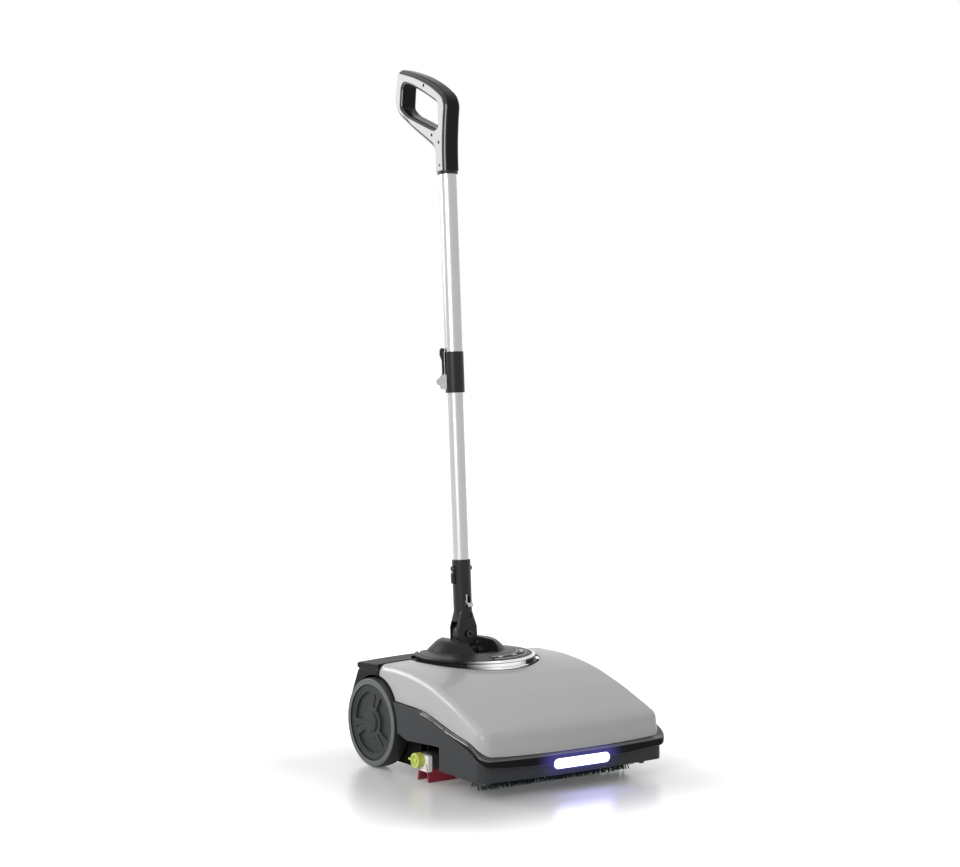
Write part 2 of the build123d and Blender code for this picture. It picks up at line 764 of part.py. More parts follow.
def make_pod():
    outer = pod_solid(0)
    slot_front = POD_SLOT_FRONT_Y - POD_WALL
    wall_half = POD_SLOT_HALF + POD_WALL
    lining = outer & box(-wall_half, wall_half, slot_front, WIDE, 0, TALL)
    slot = box(-POD_SLOT_HALF, POD_SLOT_HALF, POD_SLOT_FRONT_Y, WIDE, 0, TALL)
    front_edges = slot.edges().filter_by(Axis.Z).group_by(Axis.Y)[0]
    slot = fillet(front_edges, POD_SLOT_CORNER_R)
    tray = box(-POD_SLOT_HALF - CUT, POD_SLOT_HALF + CUT, slot_front + CUT, POD_TRAY_REAR_Y,
               POD_TRAY_Z, POD_TRAY_Z + POD_WALL)
    back = outer & box(-WIDE, WIDE, POD_REAR_Y - POD_WALL, POD_REAR_Y, 0, TALL)
    return (outer - pod_solid(POD_WALL)) + lining + back + (outer & TOWERS) - slot + tray - BEHIND_POD


def panel_band(depth):
    """Curved band of the control panel, let into the sloping face."""
    ends = [(r, FACE_Z(r)) for r in (PANEL_R_IN, PANEL_R_OUT)]
    low = [(r, z - depth) for r, z in ends]
    high = [(r, z + PANEL_PROUD) for r, z in ends]
    face = make_face(Polyline(low[0], low[1], high[1], high[0], close=True))
    band = revolve(Plane.XZ * face, Axis.Z, PANEL_TO - PANEL_FROM)
    return Pos(0, POD_Y, 0) * Rot(Z=PANEL_FROM) * band


pod = make_pod() - panel_band(PANEL_T)
panel = panel_band(PANEL_T)
for spot in BUTTON_ANGLES:
    well = pod_spot(spot, BUTTON_RING_R) * Cylinder(BUTTON_R + BUTTON_GAP, 3 * BUTTON_DEPTH)
    pod -= well
    panel -= well
keep("control_panel", panel)
for name, spot in zip(("button_power", "button_brush", "button_suction"), BUTTON_ANGLES):
    middle = (BUTTON_PROUD - BUTTON_DEPTH) / 2
    key = Pos(0, 0, middle) * Cylinder(BUTTON_R, BUTTON_PROUD + BUTTON_DEPTH)
    key = fillet(key.edges().group_by(Axis.Z)[-1], BUTTON_EDGE_R)
    keep(name, pod_spot(spot, BUTTON_RING_R) * key)


# Trim ring round the pod with a flange below it
def make_rim():
    bevel = RIM_BEAD_H / 3
    bead_top = RIM_LOW_Z + RIM_BEAD_H
    bead = ring_of(((POD_FOOT_R, RIM_LOW_Z), (RIM_R - bevel, RIM_LOW_Z), (RIM_R, RIM_LOW_Z + bevel),
                    (RIM_R, bead_top - bevel), (RIM_R - bevel, bead_top), (POD_FOOT_R, bead_top)), POD_Y)
    top = RIM_FLANGE_Z + RIM_FLANGE_T
    neck_r = (POD_FOOT_R + RIM_R) / 2
    edge = RIM_FLANGE_EDGE
    flange = ring_of(((POD_FOOT_R, RIM_FLANGE_Z), (RIM_FLANGE_R, RIM_FLANGE_Z), (RIM_FLANGE_R, top - edge),
                      (RIM_FLANGE_R - edge, top), (neck_r, top), (neck_r, RIM_LOW_Z), (POD_FOOT_R, RIM_LOW_Z)),
                     POD_Y)
    return bead + flange - pod_solid(0) - BEHIND_POD


def rim_part(start, end, z0, z1):
    """Room of the trim ring between two angles and two heights."""
    return Pos(0, POD_Y, 0) * sector(0, RIM_FLANGE_R + CUT, (start + end) / 2, end - start, z0, z1)


rim = make_rim()
bright = rim_part(RIM_FROM, RIM_TO, RIM_LOW_Z, TALL)
bright += rim_part(RIM_FLANGE_FROM, RIM_FLANGE_TO, POD_BASE_Z, RIM_LOW_Z)
keep("pod_rim", rim & bright)
keep("control_pod", pod + (rim - bright))


# Rear cover: open box behind the wheels, with the fixed half of the lid hinge
def hinge_x(start, end, radius):
    """The same length of hinge on both sides."""
    right = rod_x(radius, start, end, LID_HINGE_Y, LID_HINGE_Z)
    return right + mirrored(right)


HINGE_MID = LID_HINGE_LEN / 2
HINGE_END = HINGE_MID + LID_HINGE_GAP + LID_HINGE_LEN


def make_rear_cover():
    body = side_prism(REAR_SIDE, -REAR_HALF_W, REAR_HALF_W)
    body -= side_prism(REAR_INSIDE, -REAR_HALF_W + WALL, REAR_HALF_W - WALL)
    body -= ARCHES
    for start in (LID_HINGE_X - HINGE_END, LID_HINGE_X + HINGE_MID + LID_HINGE_GAP):
        end = start + LID_HINGE_LEN
        web = box(start, end, LID_WEB_Y, LID_HINGE_Y, LID_HINGE_Z - LID_WEB_LOW, LID_HINGE_Z - LID_WEB_TOP)
        body += hinge_x(start, end, LID_HINGE_R) + web + mirrored(web)
    body += hinge_x(LID_HINGE_X - HINGE_END, LID_HINGE_X + HINGE_END, LID_PIN_R)
    return body - rod_y(INLET_R, INLET_Y0, WIDE, INLET_X, INLET_Z)


keep("rear_cover", make_rear_cover())


def lid_seat(y):
    """Height of the sloping joint where the lid lies on the rear cover."""
    slope = (REAR_TOP_Z - REAR_TOP_FRONT_Z) / (REAR_TOP_Y - REAR_FRONT_Y)
    return REAR_TOP_FRONT_Z + slope * (y - REAR_FRONT_Y) + REAR_LID_GAP


def above_seat(front, rear, lift, x0, x1):
    """Everything above the joint, or above a line lifted from it."""
    outline = ((front, lid_seat(front) + lift), (front, TALL), (rear, TALL), (rear, lid_seat(rear) + lift))
    return side_prism(outline, x0, x1)


def lid_block(top_front, top_rear, end_x, inset):
    """Part of the lid under one sloping, arched top, or its hollow."""
    front = REAR_LID_FRONT_Y + inset
    rear = REAR_LID_REAR_Y - inset
    lift = -REAR_TOP_Z / 2 if inset else 0
    body = above_seat(front, rear, lift, -REAR_HALF_W + inset, end_x - inset)
    return body & under_roof(((front - CUT, top_front - inset), (rear + CUT, top_rear - inset)))


def rounded_top(body, radius):
    return fillet(body.faces().sort_by(Axis.Z)[-1].edges(), radius)


def make_rear_lid():
    low = REAR_TOP_Z + REAR_LID_GAP
    rear = REAR_LID_REAR_Y
    raised = (REAR_LID_TOP_FRONT, REAR_LID_TOP_REAR, LID_STEP_X)
    shelf = (LID_SHELF_FRONT, LID_SHELF_REAR, REAR_HALF_W)
    body = rounded_top(lid_block(*raised, 0), LID_EDGE_R)
    body += rounded_top(lid_block(*shelf, 0), LID_SHELF_EDGE_R)
    body -= lid_block(*raised, REAR_LID_WALL) + lid_block(*shelf, REAR_LID_WALL)
    deep = LID_GROOVE_DEEP
    groove = box(-WIDE, WIDE, REAR_LID_FRONT_Y, rear, 0, TALL)
    groove -= above_seat(-WIDE, WIDE, LID_GROOVE_H, -WIDE, WIDE)
    groove -= box(-REAR_HALF_W + deep, REAR_HALF_W - deep, -WIDE, rear - deep, 0, TALL)
    body -= groove
    hole = rod_z(RIM_FLANGE_R + LID_POD_GAP, 0, TALL, 0, POD_Y)
    hole = hole & box(-WIDE, WIDE, -WIDE, POD_REAR_Y + LID_POD_GAP, 0, TALL)
    body -= hole
    start = LID_HINGE_X - HINGE_MID
    tab = box(start, start + LID_HINGE_LEN, rear - REAR_LID_WALL, LID_HINGE_Y, low, low + LID_TAB_T)
    body += tab + mirrored(tab) + hinge_x(start, start + LID_HINGE_LEN, LID_HINGE_R)
    return body - hinge_x(start - CUT, start + LID_HINGE_LEN + CUT, LID_PIN_R + RUN_FIT)


keep("rear_lid", make_rear_lid())
inlet = rod_y(INLET_R, INLET_Y0, INLET_Y1, INLET_X, INLET_Z)
inlet += rod_y(INLET_R + INLET_FLANGE, INLET_Y1 - INLET_FLANGE_T, INLET_Y1, INLET_X, INLET_Z)
keep("charge_inlet", inlet - rod_y(INLET_BORE_R, INLET_Y1 - INLET_BORE_DEEP, WIDE, INLET_X, INLET_Z))


# Chassis tray: wide at the brush, narrow between the wheels
def make_chassis():
    half = CHASSIS_HALF_W
    inner = half - CHASSIS_WALL
    deck = box(-half, half, BRUSH_Y + BRUSH_ARCH_R - 2 * WALL, SHOULDER_Y, DECK_Z, DECK_Z + DECK_T)
    deck -= rod_x(BRUSH_ARCH_R, -WIDE, WIDE, BRUSH_Y, BRUSH_R)
    body = deck + side_prism(CHASSIS_SIDE, inner, half) + side_prism(CHASSIS_SIDE, -half, -inner)
    arch_x = BRUSH_ARCH_HALF
    arch_out = BRUSH_ARCH_R + WALL
    arch = rod_x(arch_out, -arch_x, arch_x, BRUSH_Y, BRUSH_R)
    arch += box(-arch_x, arch_x, BRUSH_Y - arch_out, BRUSH_Y + arch_out, FLOOR_Z, BRUSH_R)
    arch -= rod_x(BRUSH_ARCH_R, -WIDE, WIDE, BRUSH_Y, BRUSH_R)
    arch -= box(-WIDE, WIDE, BRUSH_Y - BRUSH_ARCH_R, BRUSH_Y + BRUSH_ARCH_R, 0, BRUSH_R)
    arch = arch & box(-WIDE, WIDE, -WIDE, 0, FLOOR_Z, TALL)
    nose = box(-NOSE_HALF, NOSE_HALF, LIGHT_BACK_Y, BRUSH_Y - BRUSH_ARCH_R - CUT,
               LIGHT_Z - NOSE_H, LIGHT_Z + NOSE_H)
    body += arch + nose
    narrow = CHASSIS_NARROW
    body += box(-narrow, narrow, BULKHEAD_Y, CHASSIS_REAR_Y, FLOOR_Z, FLOOR_Z + FLOOR_T)
    body += box(-narrow, narrow, BULKHEAD_Y, BULKHEAD_Y + FLOOR_T, FLOOR_Z, DECK_Z + DECK_T)
    body += box(-SHELF_HALF, SHELF_HALF, SHELF_Y0, SHELF_Y1, FLOOR_Z, REAR_FOOT_Z)
    cheek = box(narrow - CHEEK_T, narrow, SHOULDER_Y - SHOULDER_T, CHEEK_REAR_Y, CHEEK_LOW_Z, CHASSIS_SIDE_Z)
    cheek += rod_x(AXLE_BOSS_R, narrow - AXLE_BOSS_IN, narrow + AXLE_BOSS_OUT, WHEEL_Y, WHEEL_R)
    cheek += box(narrow - CHEEK_T, half, SHOULDER_Y - SHOULDER_T, SHOULDER_Y, DECK_Z, SHOULDER_TOP_Z)
    body += cheek + mirrored(cheek)
    body += TOWERS & box(-WIDE, WIDE, -WIDE, WIDE, 0, POD_BASE_Z)
    post = rod_z(SQ_POST_R, SQ_POST_LOW_Z, DECK_Z + CUT, SQ_POST_X, (SQ_Y0 + SQ_Y1) / 2)
    body += post + mirrored(post)
    body -= rod_x(AXLE_R, -WIDE, WIDE, WHEEL_Y, WHEEL_R)
    body -= box(arch_x, inner, BRUSH_Y + BELT_SLOT, MOTOR_Y + BELT_SLOT, DECK_Z - CUT, DECK_Z + DECK_T + CUT)
    body -= rod_z(SUCTION_R, DECK_Z - CUT, DECK_Z + DECK_T + CUT, SUCTION_X, (SQ_Y0 + SQ_Y1) / 2)
    body -= rod_y(FEED_R, BRUSH_Y + PAST, PUMP_Y, PUMP_X, FEED_Z)
    foot = box(MOTOR_X0 + MOTOR_FOOT_IN, MOTOR_X1 - MOTOR_FOOT_IN, MOTOR_Y - MOTOR_FOOT, MOTOR_Y + MOTOR_FOOT,
               DECK_Z + CUT, MOTOR_Z)
    body += foot - rod_x(MOTOR_R, 0, WIDE, MOTOR_Y, MOTOR_Z)
    for rest_x in TANK_RESTS:
        body += box(rest_x - REST_HALF, rest_x + REST_HALF, REST_Y0, REST_Y1, DECK_Z + CUT, TANK_SIDE[0][1])
    leg_r = FAN_CASE_R - FAN_LEG
    for turn in FAN_LEGS:
        leg_x = FAN_X + leg_r * math.cos(math.radians(turn))
        leg_y = FAN_Y + leg_r * math.sin(math.radians(turn))
        body += rod_z(FAN_LEG, FLOOR_Z + CUT, FAN_Z0, leg_x, leg_y)
    for stand_x in (BOARD_X0 + STAND_IN, BOARD_X1 - STAND_IN):
        for stand_y in (BOARD_Y0 + STAND_IN, BOARD_Y1 - STAND_IN):
            body += rod_z(STAND_R, FLOOR_Z + CUT, BOARD_Z, stand_x, stand_y)
    return body - rod_z(SUCTION_R, DECK_Z - CUT, TANK_SIDE[0][1] + CUT, SUCTION_X, (SQ_Y0 + SQ_Y1) / 2)


keep("chassis", make_chassis())

# Axle and wheels
AXLE_END_X = WHEEL_FACE_X - AXLE_END_GAP
keep("axle", rod_x(AXLE_R, -AXLE_END_X, AXLE_END_X, WHEEL_Y, WHEEL_R))


def make_tyre():
    """Tyre with a crowned tread, standing on its inner face."""
    rim_r = WHEEL_R - TYRE_THICK
    edge_r = WHEEL_R - TYRE_CROWN
    tread = ThreePointArc((edge_r, 0), (WHEEL_R, WHEEL_W / 2), (edge_r, WHEEL_W))
    rest = Polyline((edge_r, WHEEL_W), (rim_r, WHEEL_W), (rim_r, 0), (edge_r, 0))
    ring = revolve(Plane.XZ * make_face([tread, rest]), Axis.Z)
    outer = [e for e in ring.edges().filter_by(GeomType.CIRCLE) if e.radius > edge_r - TYRE_CROWN]
    return fillet(outer, TYRE_EDGE_R)


def make_hub():
    """Hub with three pocketed fields, standing on its inner face."""
    rim_r = WHEEL_R - TYRE_THICK
    face_z = WHEEL_W - HUB_SINK
    rim = tube_z(rim_r, rim_r - HUB_RIM, 0, WHEEL_W - HUB_LIP_SINK)
    rim = fillet(rim.edges().group_by(Axis.Z)[-1], HUB_EDGE_R)
    hub = rim + rod_z(rim_r - HUB_RIM / 2, face_z - HUB_WEB, face_z)
    hub += rod_z(HUB_BOSS_R + HUB_COLLAR, 0, face_z)
    boss = rod_z(HUB_BOSS_R, face_z - HUB_WEB, WHEEL_W - HUB_BOSS_SINK)
    hub += fillet(boss.edges().group_by(Axis.Z)[-1], HUB_EDGE_R)
    for spoke in HUB_SPOKES:
        pocket = sector(HUB_POCKET_IN, HUB_POCKET_OUT, spoke + 180 / len(HUB_SPOKES), HUB_POCKET_DEG,
                        face_z - HUB_POCKET_DEEP, WHEEL_W)
        groove = box(HUB_POCKET_IN, HUB_POCKET_OUT, -HUB_GROOVE_W / 2, HUB_GROOVE_W / 2,
                     face_z - HUB_GROOVE_DEEP, WHEEL_W)
        hub -= pocket + Rot(Z=spoke) * groove
    reach = WHEEL_W - AXLE_END_GAP + AXLE_END_CLEAR
    return hub - rod_z(AXLE_R + RUN_FIT, -WHEEL_W, reach)


def place_wheel(name, shape):
    """Left wheel and the same piece for the right."""
    left = Pos(-WHEEL_FACE_X + WHEEL_W, WHEEL_Y, WHEEL_R) * Rot(Y=-90) * shape
    keep(name + "_left", left)
    keep(name + "_right", mirrored(left))


place_wheel("tyre", make_tyre())
place_wheel("wheel_hub", make_hub())

# Roller brush, its bearings and its belt drive
core = rod_x(BRUSH_CORE_R, -BRUSH_HALF, BRUSH_HALF, BRUSH_Y, BRUSH_R)
core += rod_x(JOURNAL_R, -BRUSH_HALF - JOURNAL_OUT, PULLEY_X1 + JOURNAL_PROUD, BRUSH_Y, BRUSH_R)
keep("brush_core", core)


def make_bristles():
    sleeve = rod_x(BRUSH_SLEEVE_R, -BRUSH_HALF, BRUSH_HALF, 0, 0)
    sleeve -= rod_x(BRUSH_CORE_R, -WIDE, WIDE, 0, 0)
    root = (BRUSH_SLEEVE_R + BRUSH_CORE_R) / 2
    pitch = (2 * BRUSH_HALF - 2 * BRISTLE_W) / (BRISTLE_PER_ROW - 1)
    base = Plane.XY.offset(root) * Rectangle(BRISTLE_W, BRISTLE_W)
    tip = Plane.XY.offset(BRISTLE_REACH) * Rectangle(BRISTLE_TIP_W, BRISTLE_TIP_W)
    strand = loft([base.face(), tip.face()])
    tufts = []
    for row in range(BRISTLE_ROWS):
        for tuft in range(BRISTLE_PER_ROW):
            x = -BRUSH_HALF + BRISTLE_W + pitch * tuft
            turn = 360 * row / BRISTLE_ROWS + BRISTLE_TWIST * tuft / (BRISTLE_PER_ROW - 1)
            tufts.append(Rot(X=turn) * Pos(x, 0, 0) * strand)
    return Pos(0, BRUSH_Y, BRUSH_R) * sleeve.fuse(*tufts)


keep("brush_bristles", make_bristles())
plate = rod_x(BRUSH_ARCH_R, END_PLATE_X, END_PLATE_X + END_PLATE_T, BRUSH_Y, BRUSH_R)
plate = plate & box(0, WIDE, -WIDE, 0, END_PLATE_LOW_Z, TALL)
plate -= rod_x(JOURNAL_R + RUN_FIT, 0, WIDE, BRUSH_Y, BRUSH_R)
keep("brush_bearings", plate + mirrored(plate))


def pulley(radius, y, z):
    """Belt pulley with a lip on each side."""
    wheel = rod_x(radius, PULLEY_X0, PULLEY_X1, y, z)
    for lip_x in (PULLEY_X0, PULLEY_X1 - PULLEY_LIP / 2):
        wheel += rod_x(radius + PULLEY_LIP, lip_x, lip_x + PULLEY_LIP / 2, y, z)
    return wheel


keep("brush_pulley", pulley(BRUSH_PULLEY_R, BRUSH_Y, BRUSH_R) - rod_x(JOURNAL_R, 0, WIDE, BRUSH_Y, BRUSH_R))
keep("motor_pulley", pulley(MOTOR_PULLEY_R, MOTOR_Y, MOTOR_Z)
     + rod_x(SHAFT_R, MOTOR_X1 - SHAFT_IN, PULLEY_X1, MOTOR_Y, MOTOR_Z))


def belt_loop(offset, x0, x1):
    """Filled outline of a belt running at a distance from both pulleys."""
    big = BRUSH_PULLEY_R + offset
    small = MOTOR_PULLEY_R + offset
    run = math.hypot(MOTOR_Y - BRUSH_Y, MOTOR_Z - BRUSH_R)
    tilt = math.acos((big - small) / run)
    line = math.atan2(MOTOR_Z - BRUSH_R, MOTOR_Y - BRUSH_Y)
    corners = []
    for side in (1, -1):
        turn = line + side * tilt
        on_big = (BRUSH_Y + big * math.cos(turn), BRUSH_R + big * math.sin(turn))
        on_small = (MOTOR_Y + small * math.cos(turn), MOTOR_Z + small * math.sin(turn))
        corners.append((on_big, on_small))
    outline = (corners[0][0], corners[0][1], corners[1][1], corners[1][0])
    loop = side_prism(outline, x0, x1)
    return loop + rod_x(big, x0, x1, BRUSH_Y, BRUSH_R) + rod_x(small, x0, x1, MOTOR_Y, MOTOR_Z)


belt_x0 = PULLEY_X0 + PULLEY_LIP
belt_x1 = PULLEY_X1 - PULLEY_LIP
belt = belt_loop(BELT_GAP + BELT_T, belt_x0, belt_x1) - belt_loop(BELT_GAP, belt_x0 - CUT, belt_x1 + CUT)
keep("drive_belt", belt)
motor = rod_x(MOTOR_R, MOTOR_X0, MOTOR_X1, MOTOR_Y, MOTOR_Z)
motor = fillet(motor.edges(), MOTOR_EDGE_R)
motor += rod_x(MOTOR_R / 2, MOTOR_X0 - MOTOR_BOSS, MOTOR_X0, MOTOR_Y, MOTOR_Z)
keep("brush_motor", motor - rod_x(SHAFT_R + RUN_FIT, MOTOR_X1 - SHAFT_IN - CUT, WIDE, MOTOR_Y, MOTOR_Z))

# Suction: fan, its case and pipe, and the hose from the squeegee
FAN_TOP_Z = FAN_Z0 + FAN_CASE_H
case = rod_z(FAN_CASE_R, FAN_Z0, FAN_TOP_Z, FAN_X, FAN_Y)
case = fillet(case.edges(), FAN_EDGE_R)
case -= rod_z(FAN_R + FAN_TIP_GAP, FAN_Z0 + FAN_ROOM, FAN_TOP_Z - FAN_WALL, FAN_X, FAN_Y)
case -= rod_z(SHAFT_R + RUN_FIT, FAN_Z0 + FAN_SHAFT_ROOM, FAN_Z0 + FAN_ROOM + CUT, FAN_X, FAN_Y)
case -= rod_z(VAC_PIPE_R - VAC_PIPE_WALL, FAN_TOP_Z - FAN_WALL - CUT, FAN_TOP_Z + CUT, FAN_X, FAN_Y)
case -= box(-WIDE, FAN_X, FAN_Y - FAN_PORT_HALF, FAN_Y + FAN_PORT_HALF,
            FAN_Z0 + FAN_PORT_LOW, FAN_Z0 + FAN_PORT_TOP)
keep("vacuum_motor", case)
disc_z = FAN_Z0 + FAN_DISC
fan = rod_z(SHAFT_R, FAN_Z0 + FAN_SHAFT_LOW, disc_z, FAN_X, FAN_Y)
fan += rod_z(FAN_R, disc_z, disc_z + FAN_DISC_T, FAN_X, FAN_Y)
for blade in range(FAN_BLADES):
    vane = box(FAN_VANE_IN, FAN_R - CUT, -FAN_BLADE_T / 2, FAN_BLADE_T / 2,
               disc_z + CUT, FAN_Z0 + FAN_VANE_TOP)
    fan += Pos(FAN_X, FAN_Y, 0) * Rot(Z=360 * blade / FAN_BLADES) * vane
keep("vacuum_fan", fan)


def vacuum_run(radius):
    """Route of the air pipe from the recovery tank to the fan, at a given radius."""
    over = VAC_PIPE_Z
    run = rod_z(radius, FAN_TOP_Z, over, FAN_X, FAN_Y) + Pos(FAN_X, FAN_Y, over) * Sphere(radius)
    run += rod_x(radius, FAN_X, VAC_PIPE_X, FAN_Y, over) + Pos(VAC_PIPE_X, FAN_Y, over) * Sphere(radius)
    return run + rod_y(radius, TANK_REAR_Y, FAN_Y, VAC_PIPE_X, over)


hose = rod_z(SUCTION_R, SUCTION_LOW_Z, TANK_SIDE[0][1], SUCTION_X, (SQ_Y0 + SQ_Y1) / 2)
hose -= rod_z(SUCTION_BORE, 0, TALL, SUCTION_X, (SQ_Y0 + SQ_Y1) / 2)
keep("suction_pipes", hose + vacuum_run(VAC_PIPE_R) - vacuum_run(VAC_PIPE_R - VAC_PIPE_WALL))


# Water: clean tank on the left, recovery tank on the right, pump and feed tube
def shrink(points, skin):
    """The tank outline drawn in by its wall."""
    face = make_face(Polyline(*points, close=True))
    return offset(face, -skin, kind=Kind.INTERSECTION)


def tank_solid(skin, x0, x1):
    face = shrink(TANK_SIDE, skin) if skin else make_face(Polyline(*TANK_SIDE, close=True))
    return Pos(x0 + skin, 0, 0) * extrude(Plane.YZ * face, x1 - x0 - 2 * skin, dir=(1, 0, 0))


mid_y = (SQ_Y0 + SQ_Y1) / 2
clean = tank_solid(0, -TANK_OUT_X, -TANK_MID_GAP) - tank_solid(TANK_SKIN, -TANK_OUT_X, -TANK_MID_GAP)
clean -= rod_z(CAP_R, TANK_STEP_Z, TALL, CAP_X, CAP_Y)
filler = rod_z(CAP_R + CAP_NECK, CAP_Z - CAP_NECK_H, CAP_Z, CAP_X, CAP_Y)
filler -= rod_z(CAP_R, 0, TALL, CAP_X, CAP_Y)
clean += filler - tank_solid(TANK_SKIN, -TANK_OUT_X, -TANK_MID_GAP)
keep("clean_tank", clean)
cap = rod_z(CAP_R, CAP_Z - CAP_PLUG_H, CAP_Z, CAP_X, CAP_Y)
keep("tank_cap", cap + rod_z(CAP_R + CAP_LIP, CAP_Z, CAP_Z + CAP_T, CAP_X, CAP_Y))
step = box(TANK_STEP_X, WIDE, -WIDE, 0, 0, TANK_STEP_Z)
step_in = box(TANK_STEP_X - TANK_SKIN, WIDE, -WIDE, 0, 0, TANK_STEP_Z + TANK_SKIN)
recovery = tank_solid(0, TANK_MID_GAP, TANK_OUT_X) - step
recovery -= tank_solid(TANK_SKIN, TANK_MID_GAP, TANK_OUT_X) - step_in
recovery -= rod_z(SUCTION_BORE, 0, TANK_STEP_Z, SUCTION_X, mid_y)
recovery -= rod_y(VAC_PIPE_R - VAC_PIPE_WALL, TANK_REAR_Y - VAC_PORT, TANK_REAR_Y + VAC_PORT,
                  VAC_PIPE_X, VAC_PIPE_Z)
keep("recovery_tank", recovery)
pump = rod_z(PUMP_R, FLOOR_Z + FLOOR_T, PUMP_TOP_Z, PUMP_X, PUMP_Y)
pump = fillet(pump.edges().group_by(Axis.Z)[-1], PUMP_EDGE_R)
port_z = PUMP_TOP_Z + PUMP_PORT_H
keep("water_pump", pump + rod_z(PUMP_PORT_R, PUMP_TOP_Z, port_z, PUMP_X, PUMP_Y))
feed = rod_y(FEED_R, BRUSH_Y + BRUSH_ARCH_R - FEED_IN, PUMP_Y - PUMP_R + CUT, PUMP_X, FEED_Z)
feed -= rod_z(PUMP_R, 0, TALL, PUMP_X, PUMP_Y)
supply_z = PUMP_TOP_Z + FEED_RISE
supply = rod_y(FEED_R, TANK_REAR_Y, PUMP_Y, PUMP_X, supply_z)
supply += rod_z(FEED_R, port_z, supply_z, PUMP_X, PUMP_Y) + Pos(PUMP_X, PUMP_Y, supply_z) * Sphere(FEED_R)
keep("water_tubes", feed + supply)

# Battery and control board
battery_z0 = REAR_FOOT_Z + WALL
battery = box(-BATTERY_HALF_X, BATTERY_HALF_X, BATTERY_Y0, BATTERY_Y1, battery_z0, BATTERY_Z1)
battery = fillet(battery.edges().filter_by(Axis.Z), BATTERY_EDGE_R)
battery += box(-BATTERY_GRIP_HALF, BATTERY_GRIP_HALF, BATTERY_GRIP_Y0, BATTERY_GRIP_Y1,
               BATTERY_Z1, BATTERY_Z1 + BATTERY_GRIP_H)
keep("battery_pack", battery)
board = box(BOARD_X0, BOARD_X1, BOARD_Y0, BOARD_Y1, BOARD_Z, BOARD_Z + BOARD_T)
chip_z = BOARD_Z + BOARD_T
for chip_x in CHIPS_X:
    board += box(chip_x - CHIP_HALF, chip_x + CHIP_HALF, CHIP_Y0, CHIP_Y1, chip_z, chip_z + CHIP_H)
keep("control_board", board)


# Squeegee: bar on two guide posts, end blocks, two blades and a release knob at each end
def make_blade(top_y, tip_y):
    """Flat rubber strip leaning from its holder to the floor."""
    outline = ((top_y, SQ_BLADE_TOP), (top_y + SQ_BLADE_T, SQ_BLADE_TOP),
               (tip_y + SQ_BLADE_T, SQ_FLOOR_GAP), (tip_y, SQ_FLOOR_GAP))
    return side_prism(outline, -SQ_BLADE_HALF, SQ_BLADE_HALF)


rear_top_y = SQ_Y1 - SQ_BLADE_IN - SQ_BLADE_T
blades = make_blade(SQ_Y0 + SQ_BLADE_IN, SQ_Y0 - SQ_FRONT_LEAN)
blades += make_blade(rear_top_y, rear_top_y + SQ_BLADE_LEAN)
keep("squeegee_blades", blades)
bar_end = SQ_HALF_W - SQ_END_T
bar = box(-bar_end, bar_end, SQ_Y0, SQ_Y1, SQ_Z0, SQ_Z1)
bar = fillet(bar.edges().filter_by(Axis.X).group_by(Axis.Z)[-1], SQ_EDGE_R)
nozzle_r = SUCTION_BORE - NOZZLE_GAP
bar += rod_z(nozzle_r, SQ_Z1 - NOZZLE_ROOT, SQ_Z1 + NOZZLE_H, SUCTION_X, mid_y)
bar -= rod_z(nozzle_r - NOZZLE_WALL, 0, TALL, SUCTION_X, mid_y)
bore = rod_z(SQ_POST_R + SQ_POST_GAP, 0, TALL, SQ_POST_X, mid_y)
keep("squeegee_bar", bar - bore - mirrored(bore) - blades)
stud_x = bar_end + KNOB_STUD_IN
stud_hole = rod_x(KNOB_STUD_R + RUN_FIT, stud_x, WIDE, KNOB_Y, KNOB_Z)
end_block = box(bar_end, SQ_HALF_W, SQ_Y0, SQ_Y1 + SQ_END_OUT, SQ_Z0 - SQ_END_LOW, SQ_Z1 - SQ_END_TOP)
end_block = fillet(end_block.edges().filter_by(Axis.X), SQ_END_EDGE_R) - stud_hole
keep("squeegee_ends", end_block + mirrored(end_block) - blades)
knob_end = SQ_HALF_W + KNOB_T
knob = rod_x(KNOB_R, SQ_HALF_W + KNOB_GAP, knob_end, KNOB_Y, KNOB_Z)
knob -= rod_x(KNOB_R - KNOB_RIM, knob_end - KNOB_DISH, WIDE, KNOB_Y, KNOB_Z)
knob += box(SQ_HALF_W + KNOB_TAB_IN, knob_end - KNOB_TAB_OUT, KNOB_Y, KNOB_Y + KNOB_R + KNOB_TAB,
            KNOB_Z - KNOB_TAB_HALF, KNOB_Z + KNOB_TAB_HALF)
knob += rod_x(KNOB_STUD_R, stud_x + KNOB_GAP, knob_end - KNOB_STUD_SINK, KNOB_Y, KNOB_Z)
keep("squeegee_knob_right", knob)
keep("squeegee_knob_left", mirrored(knob))


# Handle pivot: steel cheeks standing on the chassis and the pin through them
def make_bracket():
    y0 = PIVOT_Y - BRACKET_HALF_Y
    y1 = PIVOT_Y + BRACKET_HALF_Y
    foot_z = FLOOR_Z + FLOOR_T
    cheek = box(BRACKET_X, BRACKET_X + BRACKET_T, y0, y1, foot_z, PIVOT_Z)
    cheek += rod_x(BARREL_R, BRACKET_X, BRACKET_X + BRACKET_T, PIVOT_Y, PIVOT_Z)
    cheek += box(BRACKET_X, BRACKET_X + BRACKET_FOOT, y0, y1, foot_z, foot_z + BRACKET_T)
    cheek -= rod_x(TILT_PIN_R, 0, WIDE, PIVOT_Y, PIVOT_Z)
    cheek -= rod_x(AXLE_R, 0, WIDE, WHEEL_Y, WHEEL_R)
    tie = box(-BRACKET_X, BRACKET_X, y0, y1, BRACKET_TIE_Z, BRACKET_TIE_Z + BRACKET_T)
    return cheek + mirrored(cheek) + tie


keep("pivot_bracket", make_bracket())
keep("tilt_pin", rod_x(TILT_PIN_R, -BRACKET_X - BRACKET_T, BRACKET_X + BRACKET_T, PIVOT_Y, PIVOT_Z))


